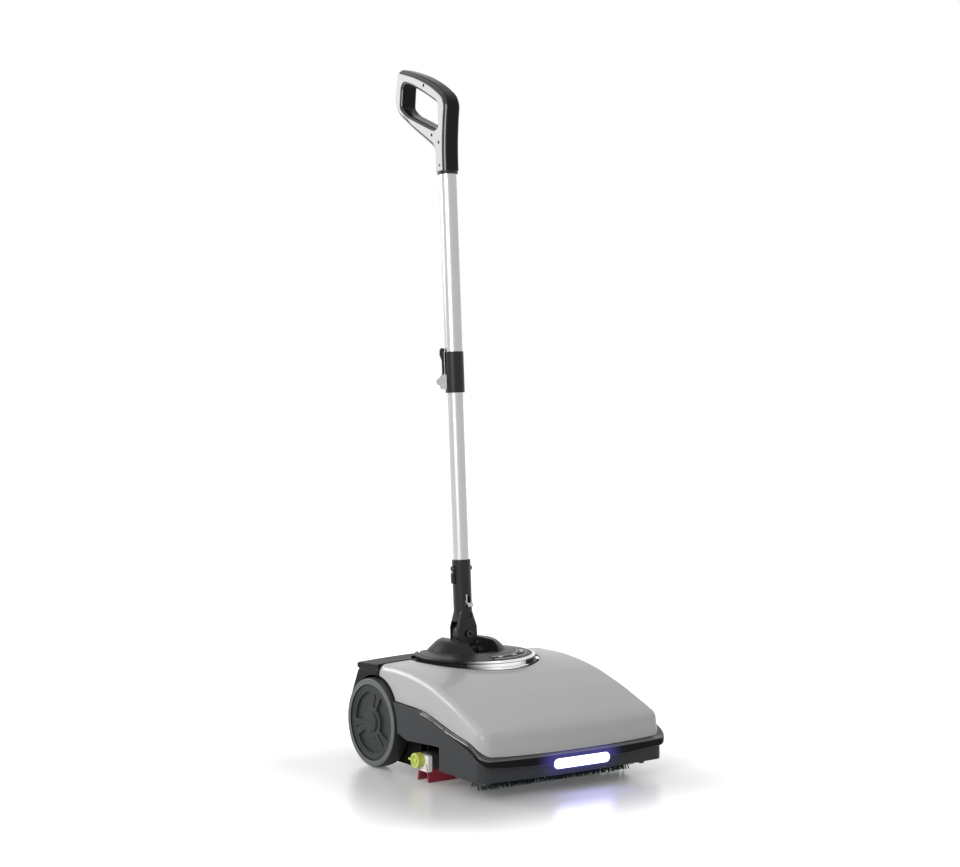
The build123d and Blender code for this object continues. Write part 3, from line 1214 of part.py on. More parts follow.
# Knuckle: barrel on the tilt pin with a round-topped tongue for the swivel bolt.
# An arc groove in the tongue takes the latch and stops the swivel at both ends.
def make_knuckle():
    body = rod_x(BARREL_R, -BARREL_HALF, BARREL_HALF, 0, 0)
    body += box(-TONGUE_HALF, TONGUE_HALF, -TONGUE_HALF_Y, TONGUE_HALF_Y, 0, SWIVEL_L)
    body += rod_y(TONGUE_HALF, -TONGUE_HALF_Y, TONGUE_HALF_Y, 0, SWIVEL_L)
    body -= rod_x(TILT_PIN_R + RUN_FIT, -WIDE, WIDE, 0, 0)
    body -= rod_y(SWIVEL_R + RUN_FIT, -WIDE, WIDE, 0, SWIVEL_L)
    root = LATCH_L0 - LATCH_GAP - SWIVEL_L
    reach = SWIVEL_LIMIT + math.degrees(math.asin((LATCH_HALF + LATCH_GAP) / root))
    groove = sector(root, FORK_HALF, 90, 2 * reach, -LATCH_Y1 - LATCH_GAP, -LATCH_Y0 + LATCH_GAP)
    return body - Pos(0, 0, SWIVEL_L) * Rot(X=90) * groove


keep_handle("knuckle", make_knuckle())


# Sleeve: fork over the knuckle below, socket for the lower tube above
def make_sleeve():
    lower = box(-FORK_HALF, FORK_HALF, -FORK_HALF_Y, FORK_HALF_Y, SWIVEL_L, FORK_SHOULDER_L)
    lower += rod_y(FORK_HALF, -FORK_HALF_Y, FORK_HALF_Y, 0, SWIVEL_L)
    lower = lower & (Pos(0, 0, SWIVEL_L) * extrude(fork_section(), 2 * FORK_HALF, both=True))
    foot = Pos(0, 0, FORK_SHOULDER_L) * fork_section()
    neck = Pos(0, 0, FORK_WAIST_L) * Circle(SLEEVE_R)
    body = lower + loft([foot.face(), neck.face()]) + rod_z(SLEEVE_R, FORK_WAIST_L, SLEEVE_TOP_L)
    fork_gap = TONGUE_HALF_Y + FORK_GAP
    body -= box(-WIDE, WIDE, -fork_gap, fork_gap, 0, FORK_ROOT_L)
    body -= rod_z(LOWER_TUBE_R, SLEEVE_FOOT_L, TALL)
    slot = LATCH_HALF + LATCH_GAP
    body -= box(-slot, slot, LATCH_Y0 - LATCH_GAP, LATCH_Y1 + LATCH_GAP, 0, LATCH_WINDOW_L0)
    body -= box(-slot, slot, -WIDE, 0, LATCH_WINDOW_L0, LATCH_WINDOW_L1)
    body -= box(-POCKET_HALF, POCKET_HALF, -WIDE, -SLEEVE_R + POCKET_DEEP, POCKET_L0, POCKET_L1)
    body -= rod_y(SWIVEL_R, -WIDE, WIDE, 0, SWIVEL_L)
    body -= rod_x(SLEEVE_BOLT_R, -WIDE, WIDE, 0, SLEEVE_BOLT_L)
    clip = box(-SLEEVE_R - CLIP_OUT, -SLEEVE_R + CUT, -CLIP_HALF, CLIP_HALF, CLIP_L0, CLIP_L1)
    clip = fillet(clip.edges().filter_by(Axis.Y).group_by(Axis.X)[0], CLIP_EDGE_R)
    clip -= box(-SLEEVE_R - CLIP_OUT / 2, 0, -WIDE, WIDE, CLIP_L0 + CLIP_T, CLIP_L1 - CLIP_T)
    return body + (clip - rod_z(SLEEVE_R - CUT, 0, TALL))


def fork_section():
    """Rounded section of the fork above the swivel bolt."""
    return RectangleRounded(2 * FORK_HALF, 2 * FORK_HALF_Y, FORK_CORNER_R)


keep_handle("sleeve", make_sleeve())
bolt = rod_y(SWIVEL_R, -FORK_HALF_Y, FORK_HALF_Y, 0, SWIVEL_L)
bolt += rod_y(BOLT_HEAD_R, -FORK_HALF_Y - BOLT_HEAD_T, -FORK_HALF_Y, 0, SWIVEL_L)
bolt -= rod_y(BOLT_HEAD_R / 2, -WIDE, -FORK_HALF_Y - BOLT_FLOOR, 0, SWIVEL_L)
nut = Pos(0, FORK_HALF_Y, SWIVEL_L) * Rot(X=-90) * extrude(RegularPolygon(NUT_R, 6), BOLT_HEAD_T)
keep_handle("swivel_bolt", bolt + nut)
cross = rod_x(SLEEVE_BOLT_R, -SLEEVE_R, SLEEVE_R, 0, SLEEVE_BOLT_L)
seat = SLEEVE_R - SLEEVE_BOLT_SEAT
cross += rod_x(SLEEVE_HEAD_R, -SLEEVE_R - SLEEVE_HEAD_T, -seat, 0, SLEEVE_BOLT_L)
cross += rod_x(SLEEVE_NUT_R, seat, SLEEVE_R + SLEEVE_NUT_T, 0, SLEEVE_BOLT_L)
cross_hole = rod_x(SLEEVE_BOLT_R, -WIDE, WIDE, 0, SLEEVE_BOLT_L)
keep_handle("sleeve_bolt", cross - (rod_z(SLEEVE_R, 0, TALL) - cross_hole))
latch = box(-LATCH_HALF, LATCH_HALF, LATCH_Y0, LATCH_Y1, LATCH_L0, LATCH_L1)
tab_top = LATCH_TAB_L + LATCH_TAB_T
latch += box(-LATCH_HALF, LATCH_HALF, LATCH_TAB_Y, LATCH_Y1, LATCH_TAB_L, tab_top)
latch += box(-LATCH_HALF, LATCH_HALF, LATCH_TAB_Y, LATCH_TAB_Y + LATCH_LIP_T,
             LATCH_TAB_L - LATCH_LIP, tab_top)
latch += box(-LATCH_HALF, -LATCH_HALF + LATCH_PRONG_X, LATCH_PRONG_Y, LATCH_PRONG_Y + LATCH_LIP_T,
             LATCH_TAB_L, LATCH_PRONG_L)
keep_handle("swivel_latch", latch)

# Telescopic tubes
UPPER_TUBE_L0 = CLAMP_L0 + CLAMP_LEN - CLAMP_GRASP
UPPER_TUBE_L1 = GRIP_L0 + GRIP_SOCKET
lower_tube = tube_z(LOWER_TUBE_R, LOWER_TUBE_R - LOWER_TUBE_WALL, LOWER_TUBE_L0, LOWER_TUBE_L1)
keep_handle("lower_tube", lower_tube - cross_hole)
keep_handle("upper_tube", tube_z(UPPER_TUBE_R, LOWER_TUBE_R + TELESCOPE_FIT, UPPER_TUBE_L0, UPPER_TUBE_L1))


# Tube clamp with a steel cam bracket, pin and quick-release lever, turned about the tube
def keep_clamp(name, shape):
    """Remember a part of the clamp, drawn with its ears to the left and then turned."""
    keep_handle(name, Rot(Z=CLAMP_TURN) * shape)


def make_clamp():
    top = CLAMP_L0 + CLAMP_LEN
    ear_low = CLAMP_L0 + EAR_UP
    body = rod_z(CLAMP_R, CLAMP_L0, top)
    body = fillet(body.edges().filter_by(GeomType.CIRCLE), CLAMP_EDGE_R)
    body += box(EAR_X, 0, -CAM_HALF_GAP, CAM_HALF_GAP, ear_low, ear_low + EAR_LEN)
    body -= rod_z(UPPER_TUBE_R, UPPER_TUBE_L0, HANDLE_TALL)
    body -= rod_z(LOWER_TUBE_R + LATCH_GAP, CLAMP_L0 - CUT, UPPER_TUBE_L0 + CUT)
    slit = CLAMP_SLIT / 2
    return body - box(-WIDE, -LOWER_TUBE_R + CUT, -slit, slit, CLAMP_L0 - CUT, top + CUT)


keep_clamp("tube_clamp", make_clamp())
CAM_L = CLAMP_L0 + CAM_UP
plate_low = CLAMP_L0 + CAM_PLATE_UP
side = box(CAM_X, -LOWER_TUBE_R, 0, CAM_PLATE_T, plate_low, plate_low + CAM_PLATE_LEN)
side = fillet(side.edges().filter_by(Axis.Y).group_by(Axis.X)[0], CAM_TIP_R)
side += rod_y(CAM_TIP_R, 0, CAM_PLATE_T, CAM_X, CAM_L)
side -= rod_y(CAM_PIN_R, -WIDE, WIDE, CAM_X, CAM_L)
cam_sides = Pos(0, CAM_HALF_GAP, 0) * side + Pos(0, -CAM_HALF_GAP - CAM_PLATE_T, 0) * side
keep_clamp("cam_bracket", cam_sides - rod_z(CLAMP_R, 0, HANDLE_TALL))
pin_half = CAM_HALF_GAP + CAM_PLATE_T
cam_pin = rod_y(CAM_PIN_R, -pin_half, pin_half, CAM_X, CAM_L)
for head_y in (-pin_half - CAM_HEAD_T, pin_half):
    cam_pin += rod_y(CAM_PIN_R + CAM_HEAD_T, head_y, head_y + CAM_HEAD_T, CAM_X, CAM_L)
keep_clamp("cam_pin", cam_pin)


def make_lever():
    half = CAM_HALF_GAP - LEVER_SIDE_GAP
    body = Pos(0, 0, CAM_L) * front_prism(LEVER_SIDE, -half, half)
    body += rod_y(CAM_EYE_R, -half, half, CAM_X, CAM_L)
    return body - rod_y(CAM_PIN_R + RUN_FIT, -WIDE, WIDE, CAM_X, CAM_L)


keep_clamp("clamp_lever", make_lever())


# Grip: D-shaped loop on a stem, moulded in two halves
def is_hole_edge(point):
    """Whether a point lies on the outline of the finger hole."""
    lows = [min(p[i] for p in GRIP_HOLE) - EDGE_TOL for i in (0, 1)]
    highs = [max(p[i] for p in GRIP_HOLE) + EDGE_TOL for i in (0, 1)]
    inside_y = lows[0] < point.Y < highs[0]
    return inside_y and lows[1] < point.Z < highs[1]


def eased(points, corner_r):
    """Closed outline whose gentle bends run into one another and whose sharp corners have a set radius."""
    outline = make_face(Polyline(*points, close=True))
    for i, corner in enumerate(points):
        run_in = Vector(*corner) - Vector(*points[i - 1])
        run_out = Vector(*points[(i + 1) % len(points)]) - Vector(*corner)
        turn = run_in.get_angle(run_out)
        bend_r = GRIP_EASE * min(run_in.length, run_out.length) / math.tan(math.radians(turn) / 2)
        if corner[1] > EDGE_TOL:
            vertex = outline.vertices().sort_by_distance(Vector(*corner))[0]
            outline = fillet([vertex], corner_r if turn > GRIP_SHARP_TURN else bend_r)
    return outline


def make_grip():
    outline = eased(GRIP_OUT, GRIP_CORNER_R)
    hole = eased(GRIP_HOLE, GRIP_HOLE_R)
    body = Pos(-GRIP_HALF_X, 0, 0) * extrude(Plane.YZ * outline, 2 * GRIP_HALF_X, dir=(1, 0, 0))
    rims = [e for e in body.edges() if abs(e.center().X) > GRIP_HALF_X - EDGE_TOL and e.center().Z > EDGE_TOL]
    body = fillet(rims, GRIP_EDGE_R)
    window = Pos(-WIDE, 0, 0) * extrude(Plane.YZ * hole, 2 * WIDE, dir=(1, 0, 0))
    body -= window
    inner = [e for e in body.edges() if abs(abs(e.center().X) - GRIP_HALF_X) < EDGE_TOL
             and is_hole_edge(e.center())]
    body = fillet(inner, GRIP_HOLE_EDGE_R)
    return Pos(0, 0, GRIP_L0) * body - rod_z(UPPER_TUBE_R, 0, UPPER_TUBE_L1)


grip = make_grip()
screws = []
for screw_y, screw_up in GRIP_SCREWS:
    screw_l = GRIP_L0 + screw_up
    on_tube = screw_up < GRIP_SOCKET
    seat_x = -UPPER_TUBE_R - SCREW_SKIN if on_tube else -GRIP_HALF_X + SCREW_SINK
    screw = rod_x(SCREW_HEAD_R, -WIDE, seat_x, screw_y, screw_l)
    if not on_tube:
        screw += rod_x(SCREW_HEAD_R / 2, seat_x - CUT, seat_x + SCREW_LEN, screw_y, screw_l)
    grip -= screw
    screws.append(screw & box(seat_x - SCREW_HEAD_T, WIDE, -WIDE, WIDE, 0, HANDLE_TALL))
keep_handle("grip_left", grip & box(-WIDE, 0, -WIDE, WIDE, 0, HANDLE_TALL))
keep_handle("grip_right", grip & box(0, WIDE, -WIDE, WIDE, 0, HANDLE_TALL))
keep_handle("grip_screws", Compound([s.solid() for s in screws]))
collar = tube_z(COLLAR_R, UPPER_TUBE_R, GRIP_L0 - COLLAR_LEN, GRIP_L0)
collar_edge = [e for e in collar.edges().group_by(Axis.Z)[0] if e.radius > COLLAR_R - EDGE_TOL]
keep_handle("grip_collar", fillet(collar_edge, COLLAR_EDGE_R))

# Move every part so that the origin is under the middle of the object, and write the files
boxes = [shape.bounding_box() for shape in PARTS.values()]
centre_y = (min(b.min.Y for b in boxes) + max(b.max.Y for b in boxes)) / 2
floor_z = min(b.min.Z for b in boxes)
os.makedirs("parts", exist_ok=True)
for name, shape in PARTS.items():
    export_step(Pos(0, -centre_y, -floor_z) * shape, "parts/" + name + ".step")
print("parts", len(PARTS), "moved back by", round(-centre_y, 3), "and up by", round(-floor_z, 3))
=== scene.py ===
"""Finishes, bristles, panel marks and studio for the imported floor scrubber."""

import json
import math
import random

import bmesh
import bpy
from bpy.props import FloatProperty, FloatVectorProperty, IntProperty, PointerProperty
from bpy.types import Operator, Panel, PropertyGroup
from mathutils import Euler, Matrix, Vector


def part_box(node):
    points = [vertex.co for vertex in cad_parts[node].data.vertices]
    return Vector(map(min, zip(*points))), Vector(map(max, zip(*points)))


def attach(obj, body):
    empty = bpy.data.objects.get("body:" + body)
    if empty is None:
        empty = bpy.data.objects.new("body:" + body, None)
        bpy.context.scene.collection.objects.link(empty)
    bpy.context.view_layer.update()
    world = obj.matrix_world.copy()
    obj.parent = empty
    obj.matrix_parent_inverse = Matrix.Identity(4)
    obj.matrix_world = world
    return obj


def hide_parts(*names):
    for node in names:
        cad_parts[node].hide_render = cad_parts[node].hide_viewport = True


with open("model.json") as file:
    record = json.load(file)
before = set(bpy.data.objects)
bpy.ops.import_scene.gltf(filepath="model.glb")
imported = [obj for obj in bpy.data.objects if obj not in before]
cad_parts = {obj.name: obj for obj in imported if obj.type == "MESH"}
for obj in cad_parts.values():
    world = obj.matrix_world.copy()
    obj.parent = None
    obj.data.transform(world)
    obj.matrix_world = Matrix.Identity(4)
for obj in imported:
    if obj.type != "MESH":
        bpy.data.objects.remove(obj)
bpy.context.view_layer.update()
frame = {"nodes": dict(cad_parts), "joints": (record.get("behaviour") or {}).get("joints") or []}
NODES = frame["nodes"]

bl_info = {
    "name": "Floor Scrubber Finishes",
    "version": (1, 0, 0),
    "blender": (4, 5, 0),
    "location": "3D View > Sidebar > Scrubber",
    "description": "Finishes, bristles, panel marks and studio for a small floor scrubber",
    "category": "Object",
}

MM = 0.001

# Finishes: coat, edges lightened by rubbing and by a painted highlight, where a colour runs into painted
# shade or a painted highlight, and the scale and depth of their grain
COAT_ROUGH = 0.06
EDGE_RADIUS = 0.0011
EDGE_PATCHES = 70.0
EDGE_BOOST = 3.0
EDGE_GAIN = 1.6
EDGE_LIFT = 0.12
# Painted shade at the rim's left end
RIM_FADE = (0.010, 0.070)
# Painted shade on the tyres' running faces
TYRE_FACE = (0.55, 0.90)
# Painted highlight on the bristle tips, strongest at the brush's right end
TIP_RADII = (0.038, 0.047)
GLINT_END = (0.07, 0.13)
GLINT_LEAST = 0.15
RUBBER_SPECULAR = 0.35
CLOUD_SCALE = 0.012
BLOOM_SCALE = 0.05
GRAIN_DEPTH = 0.0004
LINE_DEPTH = 0.0002

# How much darker or brighter than a given colour some faces are
COVER_SHADE = 0.42
# TRAY_SHADE makes the chassis near black: partly its own black, partly painted shade of the hollow under the
# body
TRAY_SHADE = 0.18
FILM_SHADE = 1.2
SPILL_TINT = 1.5

# Front light: glow of the lens, and how fast the light spilt round it fades
LENS_GLOW = 2.2
SPILL_FALL = 1.6

# Strands of the brush: spread of the roots, unevenness of the tips, and the taper from root to tip
ROOT_SPREAD = 0.0012
TIP_LEAST = 0.975
TIP_GAP = 0.0006
TAPER = ((0.0, 1.0), (0.6, 0.85), (1.0, 0.55))

# Panel marks: angles in degrees from the right, radii from the pod's middle
ARC_FROM = -102
ARC_TO = -18
ARC_STEPS = 48
BAR_ANGLES = (-31.0, -28.6, -26.2, -23.8)
BAR_RADII = (0.0825, 0.085, 0.0875)
FRAME_ANGLES = (-33, -30, -27, -24, -21.6)
FRAME_RADII = (0.0812, 0.0888)

# Widths of the marks' lines as shares of the panel's line, and the top of a key's sign in millimetres
BAR_LINE = 2.2
FRAME_LINE = 0.7
SIGN_LINE = 0.8
SIGN_TOP = 3.0

# Floor: colour and glow far from the body and beside it, and how far the shade lies to the left
FLOOR_OPEN = (0.88, 0.88, 0.88, 1.0)
FLOOR_SHADE = (0.62, 0.62, 0.62, 1.0)
FLOOR_GLOW = 0.12
OPEN_GLOW = 0.32
SHADE_SIDE = 0.07
FLOOR_ROUGH = 0.32
FLOOR_COAT_ROUGH = 0.30

# Soft boxes by the setting that holds their power: place, aim and size
SOFT_BOXES = {
    "key": ((-2.6, -1.4, 1.5), (0, 0, 0.4), (1.2, 1.5)),
    "top": ((0.3, -0.1, 3.1), (0, 0, 0.2), (2.2, 2.2)),
    "rear": ((-1.4, 2.2, 1.55), (0, 0, 0.3), (1.8, 1.1)),
}

# Small lamp under the front light, measured from the lens's lower front edge, and its aim on the floor
SPILL_AHEAD = 0.012
SPILL_UNDER = 0.002
SPILL_AIM = 0.06
SPILL_DEPTH = 0.01

# Camera: sensor in millimetres, and how far it sees
SENSOR_WIDTH = 36.0
VIEW_END = 60.0


def middle(node):
    """Centre of a part's box at rest."""
    low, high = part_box(node)
    return (low + high) / 2


def scaled(shade, factor):
    """A colour made darker or brighter."""
    return [channel * factor for channel in shade]


# Settings by kind: a name, a text for the sidebar and the default
def colour(name, text, value):
    return FloatVectorProperty(name=name, description=text, subtype="COLOR", size=3, min=0.0, max=1.0,
                               default=value)


def length(name, text, metres):
    return FloatProperty(name=name, description=text, default=metres, unit="LENGTH")


def angle(name, text, degrees):
    return FloatProperty(name=name, description=text, default=math.radians(degrees), subtype="ANGLE")


def power(name, text, watts):
    return FloatProperty(name=name, description=text, default=watts, unit="POWER")


class ScrubberColours(PropertyGroup):
    """Base colours of the finishes."""

    hood: colour("Hood", "Grey of the painted hood", (0.355, 0.355, 0.355))
    shell: colour("Shell", "Dark grey of the lower shell and rear cover", (0.031, 0.033, 0.036))
    strip: colour("Strip", "Gloss black of the bumper strip", (0.006, 0.006, 0.007))
    pod: colour("Pod", "Black of the control pod", (0.015, 0.015, 0.016))
    handle: colour("Handle", "Black of the handle mouldings", (0.010, 0.010, 0.011))
    marks: colour("Marks", "Pale grey of the panel marks", (0.74, 0.75, 0.76))
    keys: colour("Keys", "Grey of the keys", (0.17, 0.175, 0.18))
    tyre: colour("Tyre", "Grey of the tyres' side faces", (0.097, 0.106, 0.110))
    # Painted shade: the tyres' running faces are darker where the wheel arch shades them
    shaded_tread: colour("Tread", "Dark grey of the tread", (0.012, 0.013, 0.014))
    hub: colour("Hub", "Dark grey of the wheel hubs", (0.027, 0.030, 0.030))
    tube: colour("Tube", "Anodised aluminium of the handle tubes", (0.50, 0.505, 0.51))
    steel: colour("Steel", "Plated steel of the pins and brackets", (0.45, 0.455, 0.46))
    rim: colour("Rim", "Bright plated rim of the pod", (0.78, 0.785, 0.79))
    knob: colour("Knob", "Lime of the squeegee knobs", (0.46, 0.52, 0.085))
    blade: colour("Blade", "Red rubber of the squeegee blades", (0.27, 0.028, 0.045))
    block: colour("Block", "White of the squeegee end blocks", (0.80, 0.80, 0.77))
    bristle: colour("Bristle", "Dark teal of the bristles", (0.008, 0.042, 0.052))
    tank: colour("Tank", "Milky plastic of the tanks", (0.62, 0.66, 0.69))
    inside: colour("Inside", "Dark plastic of the parts under the hood", (0.035, 0.035, 0.037))
    board: colour("Board", "Green of the circuit boards", (0.02, 0.13, 0.05))
    lamp: colour("Lamp", "Cold white of the front light", (0.93, 0.95, 1.0))
    # Painted highlight: the pale teal where light catches the bristle tips
    tips: colour("Tips", "Pale teal of the worn bristle tips", (0.075, 0.16, 0.18))
    spill: colour("Spill", "Blue of the light spilt round the lamp", (0.10, 0.09, 0.42))
    bolt: colour("Bolt", "Blackened steel of the handle's bolts", (0.05, 0.05, 0.052))
    screw: colour("Screw", "Black of the grip's screws", (0.03, 0.03, 0.03))
    belt: colour("Belt", "Black rubber of the belt and the water tubes", (0.02, 0.02, 0.021))
    cap: colour("Cap", "Blue of the tank cap", (0.02, 0.08, 0.28))
    motor: colour("Motor", "Grey steel of the brush motor's case", (0.22, 0.22, 0.23))


class BristleSizes(PropertyGroup):
    """Counts and sizes of the roller brush."""

    rows: IntProperty(name="Rows", description="Rows of tufts round the core", default=16, min=4, max=40)
    tufts: IntProperty(name="Tufts", description="Tufts along one row", default=46, min=4, max=120)
    strands: IntProperty(name="Strands", description="Strands in one tuft", default=6, min=1, max=20)
    root: length("Root", "Radius where strands start", 0.0218)
    reach: length("Reach", "Radius of the tips", 0.0459)
    half: length("Half length", "Half of the tufted length", 0.157)
    twist: angle("Twist", "Turn of a row along the core", 40)
    width: length("Width", "Width of a strand at its root", 0.0011)
    splay: length("Splay", "Spread of a tuft at its tips", 0.0026)
    seed: IntProperty(name="Seed", description="Seed of the strand spread", default=7)


class PanelSizes(PropertyGroup):
    """Sizes of the marks on the control panel."""

    line: length("Line", "Width of a mark's line", 0.0012)
    height: length("Height", "Height of a mark", 0.00025)
    inner: length("Inner arc", "Radius of the inner line", 0.0772)
    outer: length("Outer arc", "Radius of the outer line", 0.0932)
    ring: length("Key circle", "Radius on which the keys lie", 0.085)


class StudioSettings(PropertyGroup):
    """Floor, lamps and camera."""

    floor: length("Floor", "Half width of the floor", 14.0)
    ambient: FloatProperty(name="Ambient", description="Light from all round", default=0.55, min=0.0)
    key: power("Key box", "Power of the soft box in front on the left", 45.0)
    top: power("Top box", "Power of the soft box above", 12.0)
    rear: power("Rear box", "Power of the soft box behind on the left", 40.0)
    mirror: length("Mirror", "How far the floor mirrors round the body", 0.30)
    spill: power("Lamp spill", "Power of the front light on the floor", 0.06)
    lens: FloatProperty(name="Lens", description="Focal length in millimetres", default=82.087)
    place: FloatVectorProperty(name="Camera", description="Where the camera stands", size=3,
                               subtype="TRANSLATION", default=(-2.24633, -3.20590, 0.80245))
    azimuth: angle("Azimuth", "Heading of the camera", 34.82)
    pitch: angle("Pitch", "Tilt of the camera below level", 3.05)


# Shader building blocks
COLOUR = "NodeSocketColor"
NUMBER = "NodeSocketFloat"
VECTOR = "NodeSocketVector"
WHITE = (1.0, 1.0, 1.0, 1.0)
BLACK = (0.0, 0.0, 0.0, 1.0)


def add(tree, kind, place=(0, 0), **values):
    """One shader node; keyword values set its properties."""
    node = tree.nodes.new(kind)
    node.location = place
    for key, value in values.items():
        setattr(node, key, value)
    return node


def join(tree, source, target):
    tree.links.new(source, target)


def feed(tree, value, socket):
    """Link an output to a socket, or set a plain value on it."""
    if hasattr(value, "is_linked"):
        join(tree, value, socket)
    else:
        socket.default_value = value


def start_group(name, inputs, outputs):
    """Empty node group with named sockets; returns it, what it is given, and its output node."""
    group = bpy.data.node_groups.new(name, "ShaderNodeTree")
    for label, kind, value in inputs:
        socket = group.interface.new_socket(label, in_out="INPUT", socket_type=kind)
        socket.default_value = value
    for label, kind in outputs:
        group.interface.new_socket(label, in_out="OUTPUT", socket_type=kind)
    given = add(group, "NodeGroupInput", (-900, 0)).outputs
    return group, given, add(group, "NodeGroupOutput", (700, 0))


def maths(tree, operation, first, second=0.0, place=(0, 0)):
    """Math node between two sockets or numbers; returns its output."""
    node = add(tree, "ShaderNodeMath", place, operation=operation)
    feed(tree, first, node.inputs[0])
    feed(tree, second, node.inputs[1])
    return node.outputs[0]


def vector_maths(tree, operation, first, second=(0.0, 0.0, 0.0), place=(0, 0)):
    """Vector Math node between two sockets or vectors; returns its vector or, where it has one, its value."""
    node = add(tree, "ShaderNodeVectorMath", place, operation=operation)
    feed(tree, first, node.inputs[0])
    feed(tree, second, node.inputs[1])
    return node.outputs["Value" if operation in ("LENGTH", "DOT_PRODUCT") else "Vector"]


def ramp(tree, value, least, full, place=(0, 0), start=0.0, end=1.0):
    """Smooth step between two values; returns its output."""
    node = add(tree, "ShaderNodeMapRange", place, interpolation_type="SMOOTHSTEP")
    node.inputs["From Min"].default_value = least
    node.inputs["From Max"].default_value = full
    node.inputs["To Min"].default_value = start
    node.inputs["To Max"].default_value = end
    join(tree, value, node.inputs["Value"])
    return node.outputs["Result"]


def axis_of(tree, vector, axis, place=(0, 0)):
    """One axis of a vector."""
    parts = add(tree, "ShaderNodeSeparateXYZ", place)
    join(tree, vector, parts.inputs[0])
    return parts.outputs[axis]


def coordinate(tree, kind, place=(0, 0)):
    """A texture coordinate, such as the place on the part."""
    return add(tree, "ShaderNodeTexCoord", place).outputs[kind]


def noise(tree, vector, scale, detail, rough, place=(0, 0)):
    node = add(tree, "ShaderNodeTexNoise", place)
    node.inputs["Detail"].default_value = detail
    node.inputs["Roughness"].default_value = rough
    feed(tree, scale, node.inputs["Scale"])
    join(tree, vector, node.inputs["Vector"])
    return node.outputs["Fac"]


def blend_colour(tree, factor, first, second, place=(0, 0)):
    node = add(tree, "ShaderNodeMix", place, data_type="RGBA")
    feed(tree, factor, node.inputs[0])
    feed(tree, first, node.inputs[6])
    feed(tree, second, node.inputs[7])
    return node.outputs[2]


SURFACE_SOCKETS = (("Color", COLOUR), ("Roughness", NUMBER), ("Height", NUMBER))
SURFACE_INPUTS = (("Base", COLOUR, WHITE), ("Spread", NUMBER, 0.12), ("Rough", NUMBER, 0.4),
                  ("Swing", NUMBER, 0.1), ("Scale", NUMBER, 900.0))


def surface_outputs(group, given, out, shade, height):
    """Colour, roughness and height that follow two noises."""
    darker = blend_colour(group, given["Spread"], given["Base"], BLACK, (100, 200))
    join(group, blend_colour(group, shade, darker, given["Base"], (350, 200)), out.inputs["Color"])
    centred = maths(group, "SUBTRACT", shade, 0.5, (100, -100))
    swing = maths(group, "MULTIPLY", centred, given["Swing"], (250, -150))
    join(group, maths(group, "ADD", given["Rough"], swing, (420, -100)), out.inputs["Roughness"])
    join(group, height, out.inputs["Height"])


def make_grain_group():
    """Spark-eroded grain of a moulded plastic face, with broad cloudiness."""
    group, given, out = start_group("moulded_grain", SURFACE_INPUTS, SURFACE_SOCKETS)
    place = coordinate(group, "Object", (-900, -300))
    fine = noise(group, place, given["Scale"], 4.0, 0.6, (-500, -300))
    broad_scale = maths(group, "MULTIPLY", given["Scale"], CLOUD_SCALE, (-700, 0))
    broad = noise(group, place, broad_scale, 4.0, 0.6, (-500, 0))
    surface_outputs(group, given, out, broad, fine)


def make_drawn_group():
    """Fine lengthwise lines of drawn and anodised metal."""
    inputs = SURFACE_INPUTS + (("Stretch", VECTOR, (1.0, 1.0, 0.012)),)
    group, given, out = start_group("drawn_metal", inputs, SURFACE_SOCKETS)
    place = coordinate(group, "Object", (-1100, -300))
    stretched = vector_maths(group, "MULTIPLY", place, given["Stretch"], (-800, -300))
    lines = noise(group, stretched, given["Scale"], 5.0, 0.65, (-500, -300))
    surface_outputs(group, given, out, lines, lines)


def make_rubber_group():
    """Soft mottled rubber with a dusty bloom."""
    group, given, out = start_group("mottled_rubber", SURFACE_INPUTS, SURFACE_SOCKETS)
    place = coordinate(group, "Object", (-900, -300))
    pores = add(group, "ShaderNodeTexVoronoi", (-500, -300))
    join(group, place, pores.inputs["Vector"])
    join(group, given["Scale"], pores.inputs["Scale"])
    cloud_scale = maths(group, "MULTIPLY", given["Scale"], BLOOM_SCALE, (-700, 0))
    cloud = noise(group, place, cloud_scale, 5.0, 0.6, (-500, 0))
    surface_outputs(group, given, out, cloud, pores.outputs["Distance"])


def make_edge_group():
    """Mask along rounded-over edges, where colour is lightened by rubbing and by a painted highlight."""
    inputs = (("Radius", NUMBER, 0.0012), ("Patchy", NUMBER, 60.0))
    group, given, out = start_group("worn_edges", inputs, (("Mask", NUMBER),))
    bevel = add(group, "ShaderNodeBevel", (-600, 0), samples=4)
    join(group, given["Radius"], bevel.inputs["Radius"])
    plain = add(group, "ShaderNodeNewGeometry", (-600, -200)).outputs["Normal"]
    match = vector_maths(group, "DOT_PRODUCT", bevel.outputs["Normal"], plain, (-400, 0))
    bend = maths(group, "SUBTRACT", 1.0, match, (-200, 0))
    patches = noise(group, coordinate(group, "Object", (-900, -400)), given["Patchy"], 3.0, 0.6, (-400, -350))
    strength = maths(group, "MULTIPLY", maths(group, "MULTIPLY", bend, EDGE_BOOST), patches, (200, 0))
    join(group, maths(group, "MINIMUM", strength, 1.0, (400, 0)), out.inputs["Mask"])


